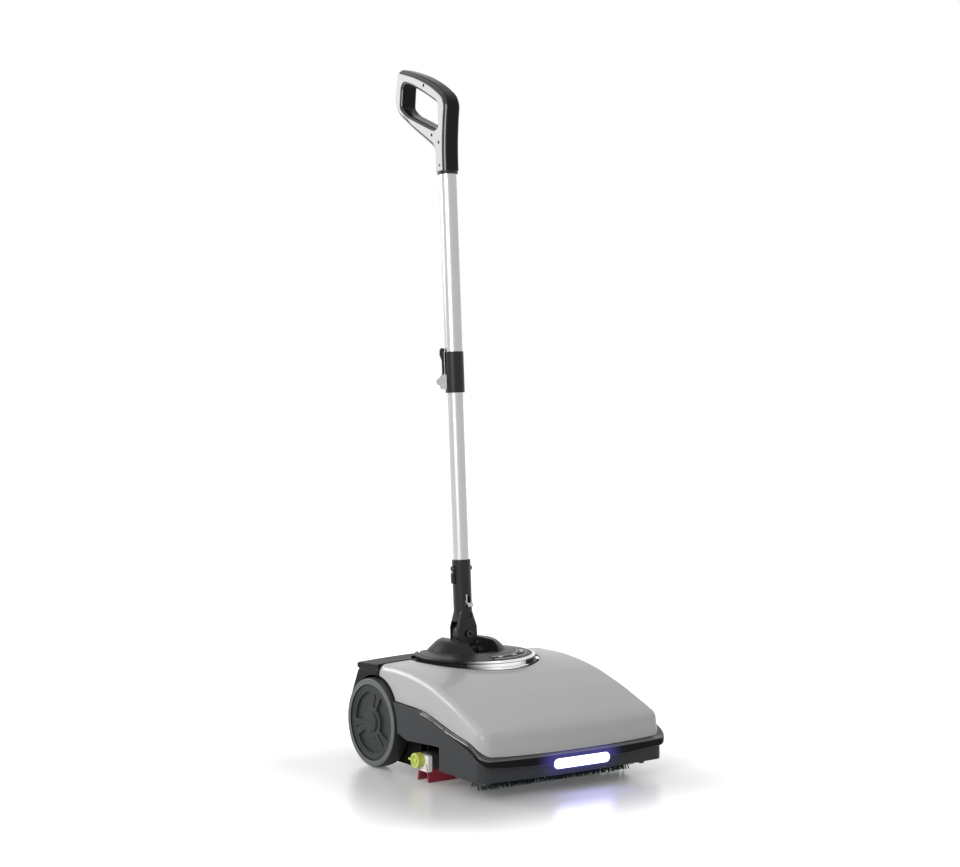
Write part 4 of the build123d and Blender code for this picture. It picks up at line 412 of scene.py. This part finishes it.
def make_spill_group():
    """Glow of the front light on what lies round it, fading with distance from the lens."""
    inputs = (("Glow", COLOUR, WHITE), ("Half", NUMBER, 0.05), ("Fade", NUMBER, 0.03),
              ("Centre", VECTOR, (0.0, 0.0, 0.0)))
    group, given, out = start_group("lamp_spill", inputs, (("Color", COLOUR),))
    place = coordinate(group, "Object", (-1100, -300))
    offset = vector_maths(group, "SUBTRACT", place, given["Centre"], (-900, -300))
    along = maths(group, "ABSOLUTE", axis_of(group, offset, "X", (-700, -200)), place=(-500, -200))
    past_end = maths(group, "SUBTRACT", along, given["Half"], (-350, -200))
    sideways = maths(group, "POWER", maths(group, "MAXIMUM", past_end, 0.0, (-200, -200)), 2.0, (-50, -200))
    upwards = maths(group, "POWER", axis_of(group, offset, "Z", (-700, -400)), 2.0, (-350, -400))
    far = maths(group, "SQRT", maths(group, "ADD", sideways, upwards, (100, -300)), place=(220, -300))
    share_far = maths(group, "DIVIDE", far, given["Fade"], (340, -300))
    near = maths(group, "MAXIMUM", maths(group, "SUBTRACT", 1.0, share_far, (450, -300)), 0.0, (560, -300))
    share = maths(group, "POWER", near, SPILL_FALL, (660, -300))
    join(group, blend_colour(group, share, BLACK, given["Glow"], (560, 0)), out.inputs["Color"])


def make_groups():
    if "moulded_grain" not in bpy.data.node_groups:
        make_grain_group()
        make_drawn_group()
        make_rubber_group()
        make_edge_group()
        make_spill_group()


def place_group(tree, name, place, **values):
    """Put a shader group into a material, with its own values."""
    node = add(tree, "ShaderNodeGroup", place, node_tree=bpy.data.node_groups[name])
    for key, value in values.items():
        node.inputs[key].default_value = (*value, 1.0) if key in ("Base", "Glow") else value
    return node


def start_finish(name):
    """New material; returns it with its tree and its shader."""
    make_groups()
    material = bpy.data.materials.new(name)
    material.use_nodes = True
    return material, material.node_tree, material.node_tree.nodes["Principled BSDF"]


def dress_surface(tree, shader, surface, bump, depth=GRAIN_DEPTH):
    """Feed a surface group's colour, roughness and height to the shader."""
    join(tree, surface.outputs["Color"], shader.inputs["Base Color"])
    join(tree, surface.outputs["Roughness"], shader.inputs["Roughness"])
    relief = add(tree, "ShaderNodeBump", (-250, -300))
    relief.inputs["Strength"].default_value = bump
    relief.inputs["Distance"].default_value = depth
    join(tree, surface.outputs["Height"], relief.inputs["Height"])
    join(tree, relief.outputs["Normal"], shader.inputs["Normal"])


def plastic(name, base, rough, bump=0.12, scale=900.0, spread=0.10, swing=0.08, specular=0.5, coat=0.0,
            wear_and_sheen=0.0):
    """Moulded plastic; the edge setting lightens its edges, as rubbing and as a painted highlight."""
    material, tree, shader = start_finish(name)
    surface = place_group(tree, "moulded_grain", (-700, 0), Base=base, Spread=spread, Rough=rough,
                          Swing=swing, Scale=scale)
    dress_surface(tree, shader, surface, bump)
    shader.inputs["Specular IOR Level"].default_value = specular
    shader.inputs["Coat Weight"].default_value = coat
    shader.inputs["Coat Roughness"].default_value = COAT_ROUGH
    # Paler edges: partly rubbing, partly a painted highlight along them
    if wear_and_sheen:
        edges = place_group(tree, "worn_edges", (-700, 300), Radius=EDGE_RADIUS, Patchy=EDGE_PATCHES)
        pale = [min(1.0, channel * EDGE_GAIN + wear_and_sheen * EDGE_LIFT) for channel in base] + [1.0]
        share = maths(tree, "MULTIPLY", edges.outputs["Mask"], wear_and_sheen, (-480, 300))
        lighter = blend_colour(tree, share, surface.outputs["Color"], pale, (-250, 200))
        join(tree, lighter, shader.inputs["Base Color"])
    return material


def metal(name, base, rough, bump=0.10, scale=700.0, spread=0.12, swing=0.14, stretch=(1.0, 1.0, 0.012)):
    """Drawn, brushed or plated metal."""
    material, tree, shader = start_finish(name)
    surface = place_group(tree, "drawn_metal", (-700, 0), Base=base, Spread=spread, Rough=rough, Swing=swing,
                          Scale=scale, Stretch=stretch)
    dress_surface(tree, shader, surface, bump, LINE_DEPTH)
    shader.inputs["Metallic"].default_value = 1.0
    return material


def rubber(name, base, rough, bump=0.25, scale=700.0, spread=0.25, swing=0.12):
    """Dull rubber."""
    material, tree, shader = start_finish(name)
    surface = place_group(tree, "mottled_rubber", (-700, 0), Base=base, Spread=spread, Rough=rough,
                          Swing=swing, Scale=scale)
    dress_surface(tree, shader, surface, bump)
    shader.inputs["Specular IOR Level"].default_value = RUBBER_SPECULAR
    return material


def wear_finish(material, *names):
    """Give CAD parts a finish."""
    for name in names:
        mesh = NODES[name].data
        mesh.materials.clear()
        mesh.materials.append(material)


def add_spill(material, glow, strength, fade):
    """Add the front light's glow to a finish."""
    tree = material.node_tree
    shader = tree.nodes["Principled BSDF"]
    low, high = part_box("light_lens")
    centre = (low + high) / 2
    half = (high.x - low.x) / 2 - (high.z - low.z) / 2
    spill = place_group(tree, "lamp_spill", (-500, -600), Glow=glow, Half=half, Fade=fade, Centre=centre)
    join(tree, spill.outputs["Color"], shader.inputs["Emission Color"])
    shader.inputs["Emission Strength"].default_value = strength


def polish_towards(material, axis, least, full, ior):
    """Polish what faces along an axis, either way, such as the rounded top of a bead."""
    tree = material.node_tree
    normal = coordinate(tree, "Normal", (-1100, 600))
    facing = maths(tree, "ABSOLUTE", axis_of(tree, normal, axis, (-900, 600)), place=(-700, 600))
    shader = tree.nodes["Principled BSDF"]
    shader.inputs["Coat IOR"].default_value = ior
    join(tree, ramp(tree, facing, least, full, (-500, 600)), shader.inputs["Coat Weight"])


def new_piece(name, shape, material, body):
    """Object from a bmesh, riding on a body and taking its finish from a slot."""
    mesh = bpy.data.meshes.new(name)
    shape.to_mesh(mesh)
    shape.free()
    piece = bpy.data.objects.new(name, mesh)
    bpy.context.scene.collection.objects.link(piece)
    mesh.materials.append(material)
    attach(piece, body)
    return piece


class ScrubberStep:
    """Shared by all steps."""

    bl_options = {"REGISTER", "UNDO"}


class SCRUBBER_OT_hood(ScrubberStep, Operator):
    """Paint the hood"""

    bl_idname = "scrubber.hood"
    bl_label = "Hood"

    def execute(self, context):
        shades = context.scene.scrubber_colours
        paint = plastic("hood_paint", shades.hood, 0.34, bump=0.02, scale=1400.0, spread=0.03, swing=0.05,
                        specular=0.42, coat=0.25)
        wear_finish(paint, "hood")
        return {"FINISHED"}


class SCRUBBER_OT_shell(ScrubberStep, Operator):
    """Finish the lower shell, rear cover, lid and chassis"""

    bl_idname = "scrubber.shell"
    bl_label = "Shell and rear cover"

    def execute(self, context):
        shades = context.scene.scrubber_colours
        moulding = plastic("shell_moulding", shades.shell, 0.50, bump=0.30, scale=1100.0, specular=0.18,
                           wear_and_sheen=0.4)
        add_spill(moulding, shades.spill, strength=0.35, fade=0.040)
        wear_finish(moulding, "lower_shell")
        # The rear cover's and lid's strong edge setting paints highlight lines along their edges as well as
        # rubbing
        cover = plastic("rear_moulding", scaled(shades.shell, COVER_SHADE), 0.38, bump=0.16, scale=1100.0,
                        specular=0.05, wear_and_sheen=1.5)
        wear_finish(cover, "rear_cover", "rear_lid")
        # Chassis near black, partly its own black and partly painted shade under the body and inside the
        # wheel arches
        tray = plastic("chassis_moulding", scaled(shades.shell, TRAY_SHADE), 0.6, bump=0.25, scale=800.0,
                       specular=0.1)
        wear_finish(tray, "chassis")
        return {"FINISHED"}


class SCRUBBER_OT_strip(ScrubberStep, Operator):
    """Finish the bumper strip and the light's housing"""

    bl_idname = "scrubber.strip"
    bl_label = "Bumper strip"

    def execute(self, context):
        shades = context.scene.scrubber_colours
        gloss = plastic("strip_gloss", shades.strip, 0.15, bump=0.012, scale=1500.0, specular=0.05)
        add_spill(gloss, shades.spill, strength=0.8, fade=0.046)
        polish_towards(gloss, "Z", least=0.25, full=0.55, ior=1.8)
        wear_finish(gloss, "bumper_strip", "light_housing")
        return {"FINISHED"}


class SCRUBBER_OT_front_light(ScrubberStep, Operator):
    """Light the lens and finish the board behind it"""

    bl_idname = "scrubber.front_light"
    bl_label = "Front light"

    def execute(self, context):
        shades = context.scene.scrubber_colours
        lens = plastic("lamp_lens", shades.lamp, 0.2, bump=0.05, scale=500.0, spread=0.02)
        shader = lens.node_tree.nodes["Principled BSDF"]
        shader.inputs["Emission Color"].default_value = (*shades.lamp, 1.0)
        shader.inputs["Emission Strength"].default_value = LENS_GLOW
        wear_finish(lens, "light_lens")
        board = plastic("circuit_board", shades.board, 0.4, bump=0.2, scale=300.0, spread=0.3)
        wear_finish(board, "light_board", "control_board")
        return {"FINISHED"}


def close_tube(shape, rings):
    """Faces along four-cornered rings and over both ends; seen from the far end, a ring runs clockwise."""
    for first, second in zip(rings, rings[1:]):
        for a in range(4):
            b = (a + 1) % 4
            shape.faces.new((first[b], first[a], second[a], second[b]))
    shape.faces.new(rings[0])
    shape.faces.new(list(reversed(rings[-1])))


def ribbon(shape, points, width, height, normal):
    """Flat raised line along points; normal gives the face's direction at a point."""
    rims = []
    for index, point in enumerate(points):
        before = points[max(index - 1, 0)]
        after = points[min(index + 1, len(points) - 1)]
        run = (after - before).normalized()
        face_up = normal(point)
        side = run.cross(face_up).normalized() * (width / 2)
        rims.append([shape.verts.new(point + side * a + face_up * b) for a, b in
                     ((-1, 0), (1, 0), (1, height), (-1, height))])
    close_tube(shape, rims)


def button_axis(name):
    """Outward direction of a key, from the joint that presses it."""
    joint = next(j for j in frame["joints"] if j["name"] == name + "_press")
    return -Vector(joint["axis"]).normalized()


def key_spot(name):
    """Middle and upward direction of a key's top."""
    up = button_axis(name)
    points = [v.co for v in NODES[name].data.vertices]
    top = max(p.dot(up) for p in points)
    centre = middle(name)
    return centre + up * (top - centre.dot(up)), up


def key_mark(name, strokes, sizes, material):
    """Raised sign on a key; strokes are polylines in millimetres on the key's face."""
    spot, up = key_spot(name)
    right = Vector((1, 0, 0)) - up * up.x
    right.normalize()
    ahead = up.cross(right)
    shape = bmesh.new()
    for stroke in strokes:
        points = [spot + (right * x + ahead * y) * MM for x, y in stroke]
        ribbon(shape, points, sizes.line * SIGN_LINE, sizes.height, lambda p: up)
    new_piece(name + "_mark", shape, material, name + "_body")


def arc_points(radius, start, end, steps=24):
    """Points of an arc round the origin, between two angles in degrees."""
    return [(radius * math.cos(a), radius * math.sin(a)) for a in
            (math.radians(start + (end - start) * i / steps) for i in range(steps + 1))]


class SCRUBBER_OT_pod(ScrubberStep, Operator):
    """Finish the control pod and mark its panel and keys"""

    bl_idname = "scrubber.pod"
    bl_label = "Control pod"

    def execute(self, context):
        shades = context.scene.scrubber_colours
        sizes = context.scene.scrubber_panel
        pod = plastic("pod_moulding", shades.pod, 0.32, bump=0.10, scale=1200.0, specular=0.10, wear_and_sheen=0.5)
        wear_finish(pod, "control_pod")
        film = plastic("panel_film", scaled(shades.pod, FILM_SHADE), 0.28, bump=0.05, scale=1500.0,
                       specular=0.01)
        wear_finish(film, "control_panel")
        wear_finish(self.rim_finish(shades), "pod_rim")
        keys = plastic("key_caps", shades.keys, 0.42, bump=0.10, scale=1500.0)
        wear_finish(keys, "button_power", "button_brush", "button_suction")
        ink = plastic("panel_ink", shades.marks, 0.45, bump=0.05)
        self.mark_panel(sizes, ink)
        for name, strokes in self.key_signs().items():
            key_mark(name, strokes, sizes, ink)
        return {"FINISHED"}

    def key_signs(self):
        """Power, brush and drop, as polylines in millimetres on the key."""
        ring = arc_points(2.4, 120, 420)
        bristles = [[(x, -2.6), (x, -0.6)] for x in (-2.0, -0.7, 0.7, 2.0)]
        round_end = [(x, y - 0.6) for x, y in arc_points(1.75, 150, 390, 14)]
        return {
            "button_power": [ring, [(0, 0.6), (0, SIGN_TOP)]],
            "button_brush": [[(-2.8, 0), (2.8, 0)], [(0, 0.4), (0, SIGN_TOP)], *bristles],
            "button_suction": [[(0, SIGN_TOP), (-1.5, 0.6), *round_end, (1.5, 0.6), (0, SIGN_TOP)]],
        }

    def rim_finish(self, shades):
        """Bright plating painted darker towards its left end, a painted shade where the rim's sheen dies away
        into the pod's black.
        """
        material = metal("plated_rim", shades.rim, 0.16, bump=0.02, stretch=(0.02, 0.02, 1.0))
        tree = material.node_tree
        shader = tree.nodes["Principled BSDF"]
        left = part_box("pod_rim")[0].x
        across = axis_of(tree, coordinate(tree, "Object", (-900, 500)), "X", (-700, 500))
        # Painted shade: the plating's colour fades to the pod's black over the rim's left end
        share = ramp(tree, across, left + RIM_FADE[0], left + RIM_FADE[1], (-500, 500))
        plating = shader.inputs["Base Color"].links[0].from_socket
        faded = blend_colour(tree, share, (*shades.pod, 1.0), plating, (-250, 400))
        join(tree, faded, shader.inputs["Base Color"])
        return material

    def mark_panel(self, sizes, ink):
        """Two arcs along the panel and a row of level bars at its end."""
        spot, slope = key_spot("button_brush")
        outward = Vector((slope.x, slope.y, 0))
        centre = spot - outward.normalized() * sizes.ring
        fall = outward.length / slope.z
        panel = NODES["control_panel"].data
        face_z = max(v.co.z + (Vector((v.co.x - centre.x, v.co.y - centre.y)).length - sizes.ring) * fall
                     for v in panel.vertices)

        def on_face(radius, degrees):
            turn = math.radians(degrees)
            x = centre.x + radius * math.cos(turn)
            y = centre.y + radius * math.sin(turn)
            return Vector((x, y, face_z - (radius - sizes.ring) * fall))

        def face_up(point):
            out = Vector((point.x - centre.x, point.y - centre.y, 0)).normalized()
            return Vector((out.x * fall, out.y * fall, 1.0)).normalized()

        shape = bmesh.new()
        sweep = [ARC_FROM + (ARC_TO - ARC_FROM) * step / ARC_STEPS for step in range(ARC_STEPS + 1)]
        for radius in (sizes.inner, sizes.outer):
            points = [on_face(radius, degrees) for degrees in sweep]
            ribbon(shape, points, sizes.line, sizes.height, face_up)
        for degrees in BAR_ANGLES:
            points = [on_face(r, degrees) for r in BAR_RADII]
            ribbon(shape, points, sizes.line * BAR_LINE, sizes.height, face_up)
        frame_bar = [on_face(FRAME_RADII[0], a) for a in FRAME_ANGLES]
        frame_bar += [on_face(FRAME_RADII[1], a) for a in reversed(FRAME_ANGLES)]
        ribbon(shape, frame_bar + frame_bar[:1], sizes.line * FRAME_LINE, sizes.height, face_up)
        new_piece("panel_marks", shape, ink, "base")


class SCRUBBER_OT_wheels(ScrubberStep, Operator):
    """Finish the tyres and hubs"""

    bl_idname = "scrubber.wheels"
    bl_label = "Wheels"

    def execute(self, context):
        shades = context.scene.scrubber_colours
        wear_finish(self.tyre_finish(shades), "tyre_left", "tyre_right")
        # The hubs' strong edge setting paints bright arcs along their edges as well as rubbing
        hub = plastic("hub_moulding", shades.hub, 0.42, bump=0.22, scale=900.0, specular=0.12, wear_and_sheen=1.2)
        wear_finish(hub, "wheel_hub_left", "wheel_hub_right")
        return {"FINISHED"}

    def tyre_finish(self, shades):
        """Grey side faces, and a darker running face that is painted shade from the wheel arch."""
        material = rubber("tyre_rubber", shades.tyre, 0.50, bump=0.2, scale=420.0)
        tree = material.node_tree
        shader = tree.nodes["Principled BSDF"]
        normal = coordinate(tree, "Normal", (-900, 500))
        sideways = maths(tree, "ABSOLUTE", axis_of(tree, normal, "X", (-700, 500)), place=(-520, 500))
        # Painted shade: the running face darkens where the side faces end
        share = ramp(tree, sideways, *TYRE_FACE, (-350, 500))
        face = shader.inputs["Base Color"].links[0].from_socket
        mixed = blend_colour(tree, share, (*shades.shaded_tread, 1.0), face, (-180, 400))
        join(tree, mixed, shader.inputs["Base Color"])
        return material


class SCRUBBER_OT_brush(ScrubberStep, Operator):
    """Make the roller brush's bristles and finish its core"""

    bl_idname = "scrubber.brush"
    bl_label = "Roller brush"

    def execute(self, context):
        shades = context.scene.scrubber_colours
        sizes = context.scene.scrubber_bristles
        core = plastic("brush_core_moulding", shades.inside, 0.5)
        wear_finish(core, "brush_core", "brush_pulley", "brush_bearings")
        tint = self.bristle_finish(shades)
        piece = new_piece("brush_tufts", self.tufts(sizes), tint, "brush_body")
        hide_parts("brush_bristles")
        return {"FINISHED"}

    def bristle_finish(self, shades):
        """Dark nylon that pales towards the tips, a painted highlight strongest at the right end."""
        material, tree, shader = start_finish("bristle_nylon")
        surface = place_group(tree, "moulded_grain", (-700, 0), Base=shades.bristle, Spread=0.6, Rough=0.42,
                              Swing=0.2, Scale=5200.0)
        dress_surface(tree, shader, surface, 0.05)
        place = coordinate(tree, "Object", (-1300, 400))
        offset = vector_maths(tree, "SUBTRACT", place, middle("brush_core"), (-1100, 400))
        round_core = vector_maths(tree, "MULTIPLY", offset, (0.0, 1.0, 1.0), (-900, 400))
        radius = vector_maths(tree, "LENGTH", round_core, place=(-700, 400))
        # Painted highlight on the tips, rising towards the brush's right end
        share = ramp(tree, radius, *TIP_RADII, (-500, 400))
        lighter = ramp(tree, axis_of(tree, offset, "X", (-900, 650)), *GLINT_END, (-700, 650), start=GLINT_LEAST)
        pale = maths(tree, "MULTIPLY", share, lighter, (-380, 500))
        mixed = blend_colour(tree, pale, surface.outputs["Color"], (*shades.tips, 1.0), (-250, 300))
        join(tree, mixed, shader.inputs["Base Color"])
        return material

    def tufts(self, sizes):
        """Tapered strands in helical rows, standing on the core."""
        draw = random.Random(sizes.seed)
        axis = middle("brush_core")
        shape = bmesh.new()
        for row in range(sizes.rows):
            for tuft in range(sizes.tufts):
                share = (tuft + 0.5) / sizes.tufts
                turn = 2 * math.pi * row / sizes.rows + sizes.twist * share
                along = -sizes.half + 2 * sizes.half * share
                for _ in range(sizes.strands):
                    self.strand(shape, sizes, draw, axis, turn, along)
        return shape

    def strand(self, shape, sizes, draw, axis, turn, along):
        """One tapered strand, kept inside the brush's reach."""
        out = Vector((0, math.cos(turn), math.sin(turn)))
        round_it = Vector((0, -math.sin(turn), math.cos(turn)))
        across = Vector((1, 0, 0))
        shift = Vector((draw.uniform(-1, 1), draw.uniform(-1, 1)))
        root = axis + across * (along + shift.x * ROOT_SPREAD - axis.x) + round_it * shift.y * ROOT_SPREAD
        tip_r = sizes.reach * draw.uniform(TIP_LEAST, 1.0) - TIP_GAP
        lean = (across * shift.x + round_it * shift.y) * sizes.splay
        sections = []
        for part, size in TAPER:
            radius = sizes.root + (tip_r - sizes.root) * part
            centre = root + out * radius + lean * part * part
            flat = centre - axis
            flat.x = 0
            if flat.length > tip_r:
                centre -= flat.normalized() * (flat.length - tip_r)
            half = sizes.width * size / 2
            sections.append([shape.verts.new(centre + across * a * half + round_it * b * half)
                             for a, b in ((-1, -1), (1, -1), (1, 1), (-1, 1))])
        close_tube(shape, sections)


class SCRUBBER_OT_squeegee(ScrubberStep, Operator):
    """Finish the squeegee's bar, blades, end blocks and knobs"""

    bl_idname = "scrubber.squeegee"
    bl_label = "Squeegee"

    def execute(self, context):
        shades = context.scene.scrubber_colours
        wear_finish(plastic("squeegee_bar_moulding", shades.inside, 0.5, specular=0.2), "squeegee_bar")
        wear_finish(rubber("blade_rubber", shades.blade, 0.5, bump=0.1, scale=500.0), "squeegee_blades")
        ends = plastic("end_block_moulding", shades.block, 0.42, bump=0.08, spread=0.05)
        wear_finish(ends, "squeegee_ends")
        knob = plastic("knob_moulding", shades.knob, 0.36, bump=0.08, spread=0.08)
        wear_finish(knob, "squeegee_knob_left", "squeegee_knob_right")
        return {"FINISHED"}


class SCRUBBER_OT_handle_metal(ScrubberStep, Operator):
    """Finish the tubes, pins, bolts and brackets"""

    bl_idname = "scrubber.handle_metal"
    bl_label = "Handle metal"

    def execute(self, context):
        shades = context.scene.scrubber_colours
        tube = metal("anodised_tube", shades.tube, 0.32, bump=0.05, scale=620.0)
        wear_finish(tube, "lower_tube", "upper_tube")
        steel = metal("plated_steel", shades.steel, 0.28, bump=0.06, scale=400.0, stretch=(1.0, 0.1, 0.3))
        wear_finish(steel, "axle", "tilt_pin", "cam_pin", "pivot_bracket", "cam_bracket", "swivel_latch")
        bolt = metal("blackened_bolt", shades.bolt, 0.32, bump=0.04, scale=400.0)
        wear_finish(bolt, "swivel_bolt", "sleeve_bolt")
        return {"FINISHED"}


class SCRUBBER_OT_handle_plastic(ScrubberStep, Operator):
    """Finish the knuckle, sleeve, clamp, lever and grip"""

    bl_idname = "scrubber.handle_plastic"
    bl_label = "Handle mouldings"

    def execute(self, context):
        shades = context.scene.scrubber_colours
        moulding = plastic("handle_moulding", shades.handle, 0.34, bump=0.14, scale=1200.0, specular=0.26,
                           wear_and_sheen=0.3)
        wear_finish(moulding, "knuckle", "sleeve", "tube_clamp", "clamp_lever", "grip_collar")
        grip = plastic("grip_moulding", shades.handle, 0.20, bump=0.01, scale=1300.0, specular=0.08)
        polish_towards(grip, "X", least=0.35, full=0.75, ior=1.55)
        wear_finish(grip, "grip_left", "grip_right")
        wear_finish(metal("black_screw", shades.screw, 0.35), "grip_screws")
        return {"FINISHED"}


class SCRUBBER_OT_inside(ScrubberStep, Operator):
    """Finish the parts under the hood"""

    bl_idname = "scrubber.inside"
    bl_label = "Inner parts"

    def execute(self, context):
        shades = context.scene.scrubber_colours
        dark = plastic("inner_moulding", shades.inside, 0.5, bump=0.2)
        wear_finish(dark, "motor_pulley", "vacuum_motor", "vacuum_fan", "suction_pipes", "water_pump",
                    "battery_pack", "charge_inlet")
        wear_finish(rubber("belt_rubber", shades.belt, 0.6), "drive_belt", "water_tubes")
        tank = plastic("tank_moulding", shades.tank, 0.4, bump=0.05, spread=0.06)
        wear_finish(tank, "clean_tank", "recovery_tank")
        wear_finish(plastic("cap_moulding", shades.cap, 0.4), "tank_cap")
        wear_finish(metal("motor_case", shades.motor, 0.4), "brush_motor")
        return {"FINISHED"}


class SCRUBBER_OT_stage(ScrubberStep, Operator):
    """Make the floor, the lamps and the camera"""

    bl_idname = "scrubber.stage"
    bl_label = "Studio"

    def execute(self, context):
        studio = context.scene.scrubber_studio
        self.make_world(context.scene, studio)
        self.make_floor(context.scene, studio)
        self.make_lamps(context.scene, studio)
        self.make_camera(context.scene, studio)
        context.scene.view_settings.view_transform = "Standard"
        return {"FINISHED"}

    def seen_directly(self, tree):
        """1 for rays from the camera and for rays that gloss and glass send out."""
        ray = add(tree, "ShaderNodeLightPath", (-900, 300)).outputs
        either = maths(tree, "MAXIMUM", ray["Is Camera Ray"], ray["Is Glossy Ray"], (-700, 300))
        return maths(tree, "MAXIMUM", either, ray["Is Transmission Ray"], (-500, 300))

    def make_world(self, scene, studio):
        """White where it is seen, dimmer where it lights."""
        world = bpy.data.worlds.new("studio_white")
        world.use_nodes = True
        scene.world = world
        tree = world.node_tree
        back = tree.nodes["Background"]
        back.inputs["Color"].default_value = WHITE
        level = maths(tree, "MAXIMUM", self.seen_directly(tree), studio.ambient, (-250, 200))
        join(tree, level, back.inputs["Strength"])

    def make_floor(self, scene, studio):
        """White floor with a painted shadow round the body, a little to its left, where it also mirrors a
        little.
        """
        shape = bmesh.new()
        bmesh.ops.create_grid(shape, x_segments=8, y_segments=8, size=studio.floor)
        mesh = bpy.data.meshes.new("studio_floor")
        shape.to_mesh(mesh)
        shape.free()
        floor = bpy.data.objects.new("studio_floor", mesh)
        scene.collection.objects.link(floor)
        material, tree, shader = start_finish("floor_white")
        shader.inputs["Roughness"].default_value = FLOOR_ROUGH
        shader.inputs["Coat Roughness"].default_value = FLOOR_COAT_ROUGH
        shader.inputs["Emission Color"].default_value = WHITE
        # Painted shadow: darker colour and less glow near the body, shifted to its left
        near = self.near_body(tree, studio.mirror)
        join(tree, near, shader.inputs["Coat Weight"])
        base = blend_colour(tree, near, FLOOR_OPEN, FLOOR_SHADE, (-350, 200))
        join(tree, base, shader.inputs["Base Color"])
        open_floor = maths(tree, "SUBTRACT", 1.0, near, (-500, -300))
        extra = maths(tree, "MULTIPLY", open_floor, OPEN_GLOW, (-350, -300))
        level = maths(tree, "ADD", extra, FLOOR_GLOW, (-200, -300))
        join(tree, maths(tree, "MULTIPLY", self.seen_directly(tree), level, (-50, -200)),
             shader.inputs["Emission Strength"])
        mesh.materials.append(material)

    def near_body(self, tree, reach):
        """1 under the body and a little to its left, falling to 0 at a distance."""
        low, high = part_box("lower_shell")
        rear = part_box("rear_cover")[1].y
        centre = Vector(((low.x + high.x) / 2 - SHADE_SIDE, (low.y + rear) / 2, 0.0))
        half = Vector(((high.x - low.x) / 2, (rear - low.y) / 2, 0.0))
        place = coordinate(tree, "Object", (-1700, -500))
        offset = vector_maths(tree, "SUBTRACT", place, centre, (-1500, -500))
        folded = vector_maths(tree, "ABSOLUTE", offset, place=(-1350, -500))
        past = vector_maths(tree, "SUBTRACT", folded, half, (-1200, -500))
        outside = vector_maths(tree, "MAXIMUM", past, place=(-1050, -500))
        away = vector_maths(tree, "LENGTH", outside, place=(-900, -500))
        return ramp(tree, away, 0.0, reach, (-700, -500), start=1.0, end=0.0)

    def soft_box(self, scene, name, place, aim, size, watts, tint=(1.0, 1.0, 1.0)):
        """Area lamp aimed at a point."""
        data = bpy.data.lights.new(name, "AREA")
        data.shape = "RECTANGLE"
        data.size, data.size_y = size
        data.energy = watts
        data.color = tint
        lamp = bpy.data.objects.new(name, data)
        lamp.location = place
        lamp.rotation_mode = "QUATERNION"
        lamp.rotation_quaternion = (Vector(aim) - Vector(place)).to_track_quat("-Z", "Y")
        scene.collection.objects.link(lamp)

    def make_lamps(self, scene, studio):
        for label, (place, aim, size) in SOFT_BOXES.items():
            self.soft_box(scene, label + "_box", place, aim, size, getattr(studio, label))
        low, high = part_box("light_lens")
        across = (low.x + high.x) / 2
        self.soft_box(scene, "lamp_spill", (across, low.y - SPILL_AHEAD, low.z - SPILL_UNDER),
                      (across, low.y - SPILL_AIM, 0.0), (high.x - low.x, SPILL_DEPTH), studio.spill,
                      scaled(scene.scrubber_colours.spill, SPILL_TINT))

    def make_camera(self, scene, studio):
        data = bpy.data.cameras.new("photo_camera")
        data.sensor_fit = "HORIZONTAL"
        data.sensor_width = SENSOR_WIDTH
        data.lens = studio.lens
        data.clip_end = VIEW_END
        camera = bpy.data.objects.new("photo_camera", data)
        camera.location = studio.place
        camera.rotation_euler = Euler((math.pi / 2 - studio.pitch, 0.0, -studio.azimuth))
        scene.collection.objects.link(camera)
        scene.camera = camera


class SCRUBBER_PT_sidebar(Panel):
    """Steps and settings in the 3D view's sidebar"""

    bl_label = "Floor Scrubber"
    bl_idname = "SCRUBBER_PT_sidebar"
    bl_space_type = "VIEW_3D"
    bl_region_type = "UI"
    bl_category = "Scrubber"

    def draw(self, context):
        layout = self.layout
        for step in STEPS:
            layout.operator(step.bl_idname)
        for label, settings in SETTINGS.items():
            group = getattr(context.scene, label)
            box = layout.box()
            for name in settings.__annotations__:
                box.prop(group, name)


STEPS = (SCRUBBER_OT_hood, SCRUBBER_OT_shell, SCRUBBER_OT_strip, SCRUBBER_OT_front_light, SCRUBBER_OT_pod,
         SCRUBBER_OT_wheels, SCRUBBER_OT_brush, SCRUBBER_OT_squeegee, SCRUBBER_OT_handle_metal,
         SCRUBBER_OT_handle_plastic, SCRUBBER_OT_inside, SCRUBBER_OT_stage)
SETTINGS = {"scrubber_colours": ScrubberColours, "scrubber_bristles": BristleSizes,
            "scrubber_panel": PanelSizes, "scrubber_studio": StudioSettings}
CLASSES = (*SETTINGS.values(), *STEPS, SCRUBBER_PT_sidebar)


def register():
    for item in CLASSES:
        bpy.utils.register_class(item)
    for label, settings in SETTINGS.items():
        setattr(bpy.types.Scene, label, PointerProperty(type=settings))


def unregister():
    for label in SETTINGS:
        delattr(bpy.types.Scene, label)
    for item in reversed(CLASSES):
        bpy.utils.unregister_class(item)


def main():
    register()
    for step in STEPS:
        getattr(bpy.ops.scrubber, step.bl_idname.split(".")[1])()


if __name__ == "__main__":
    main()
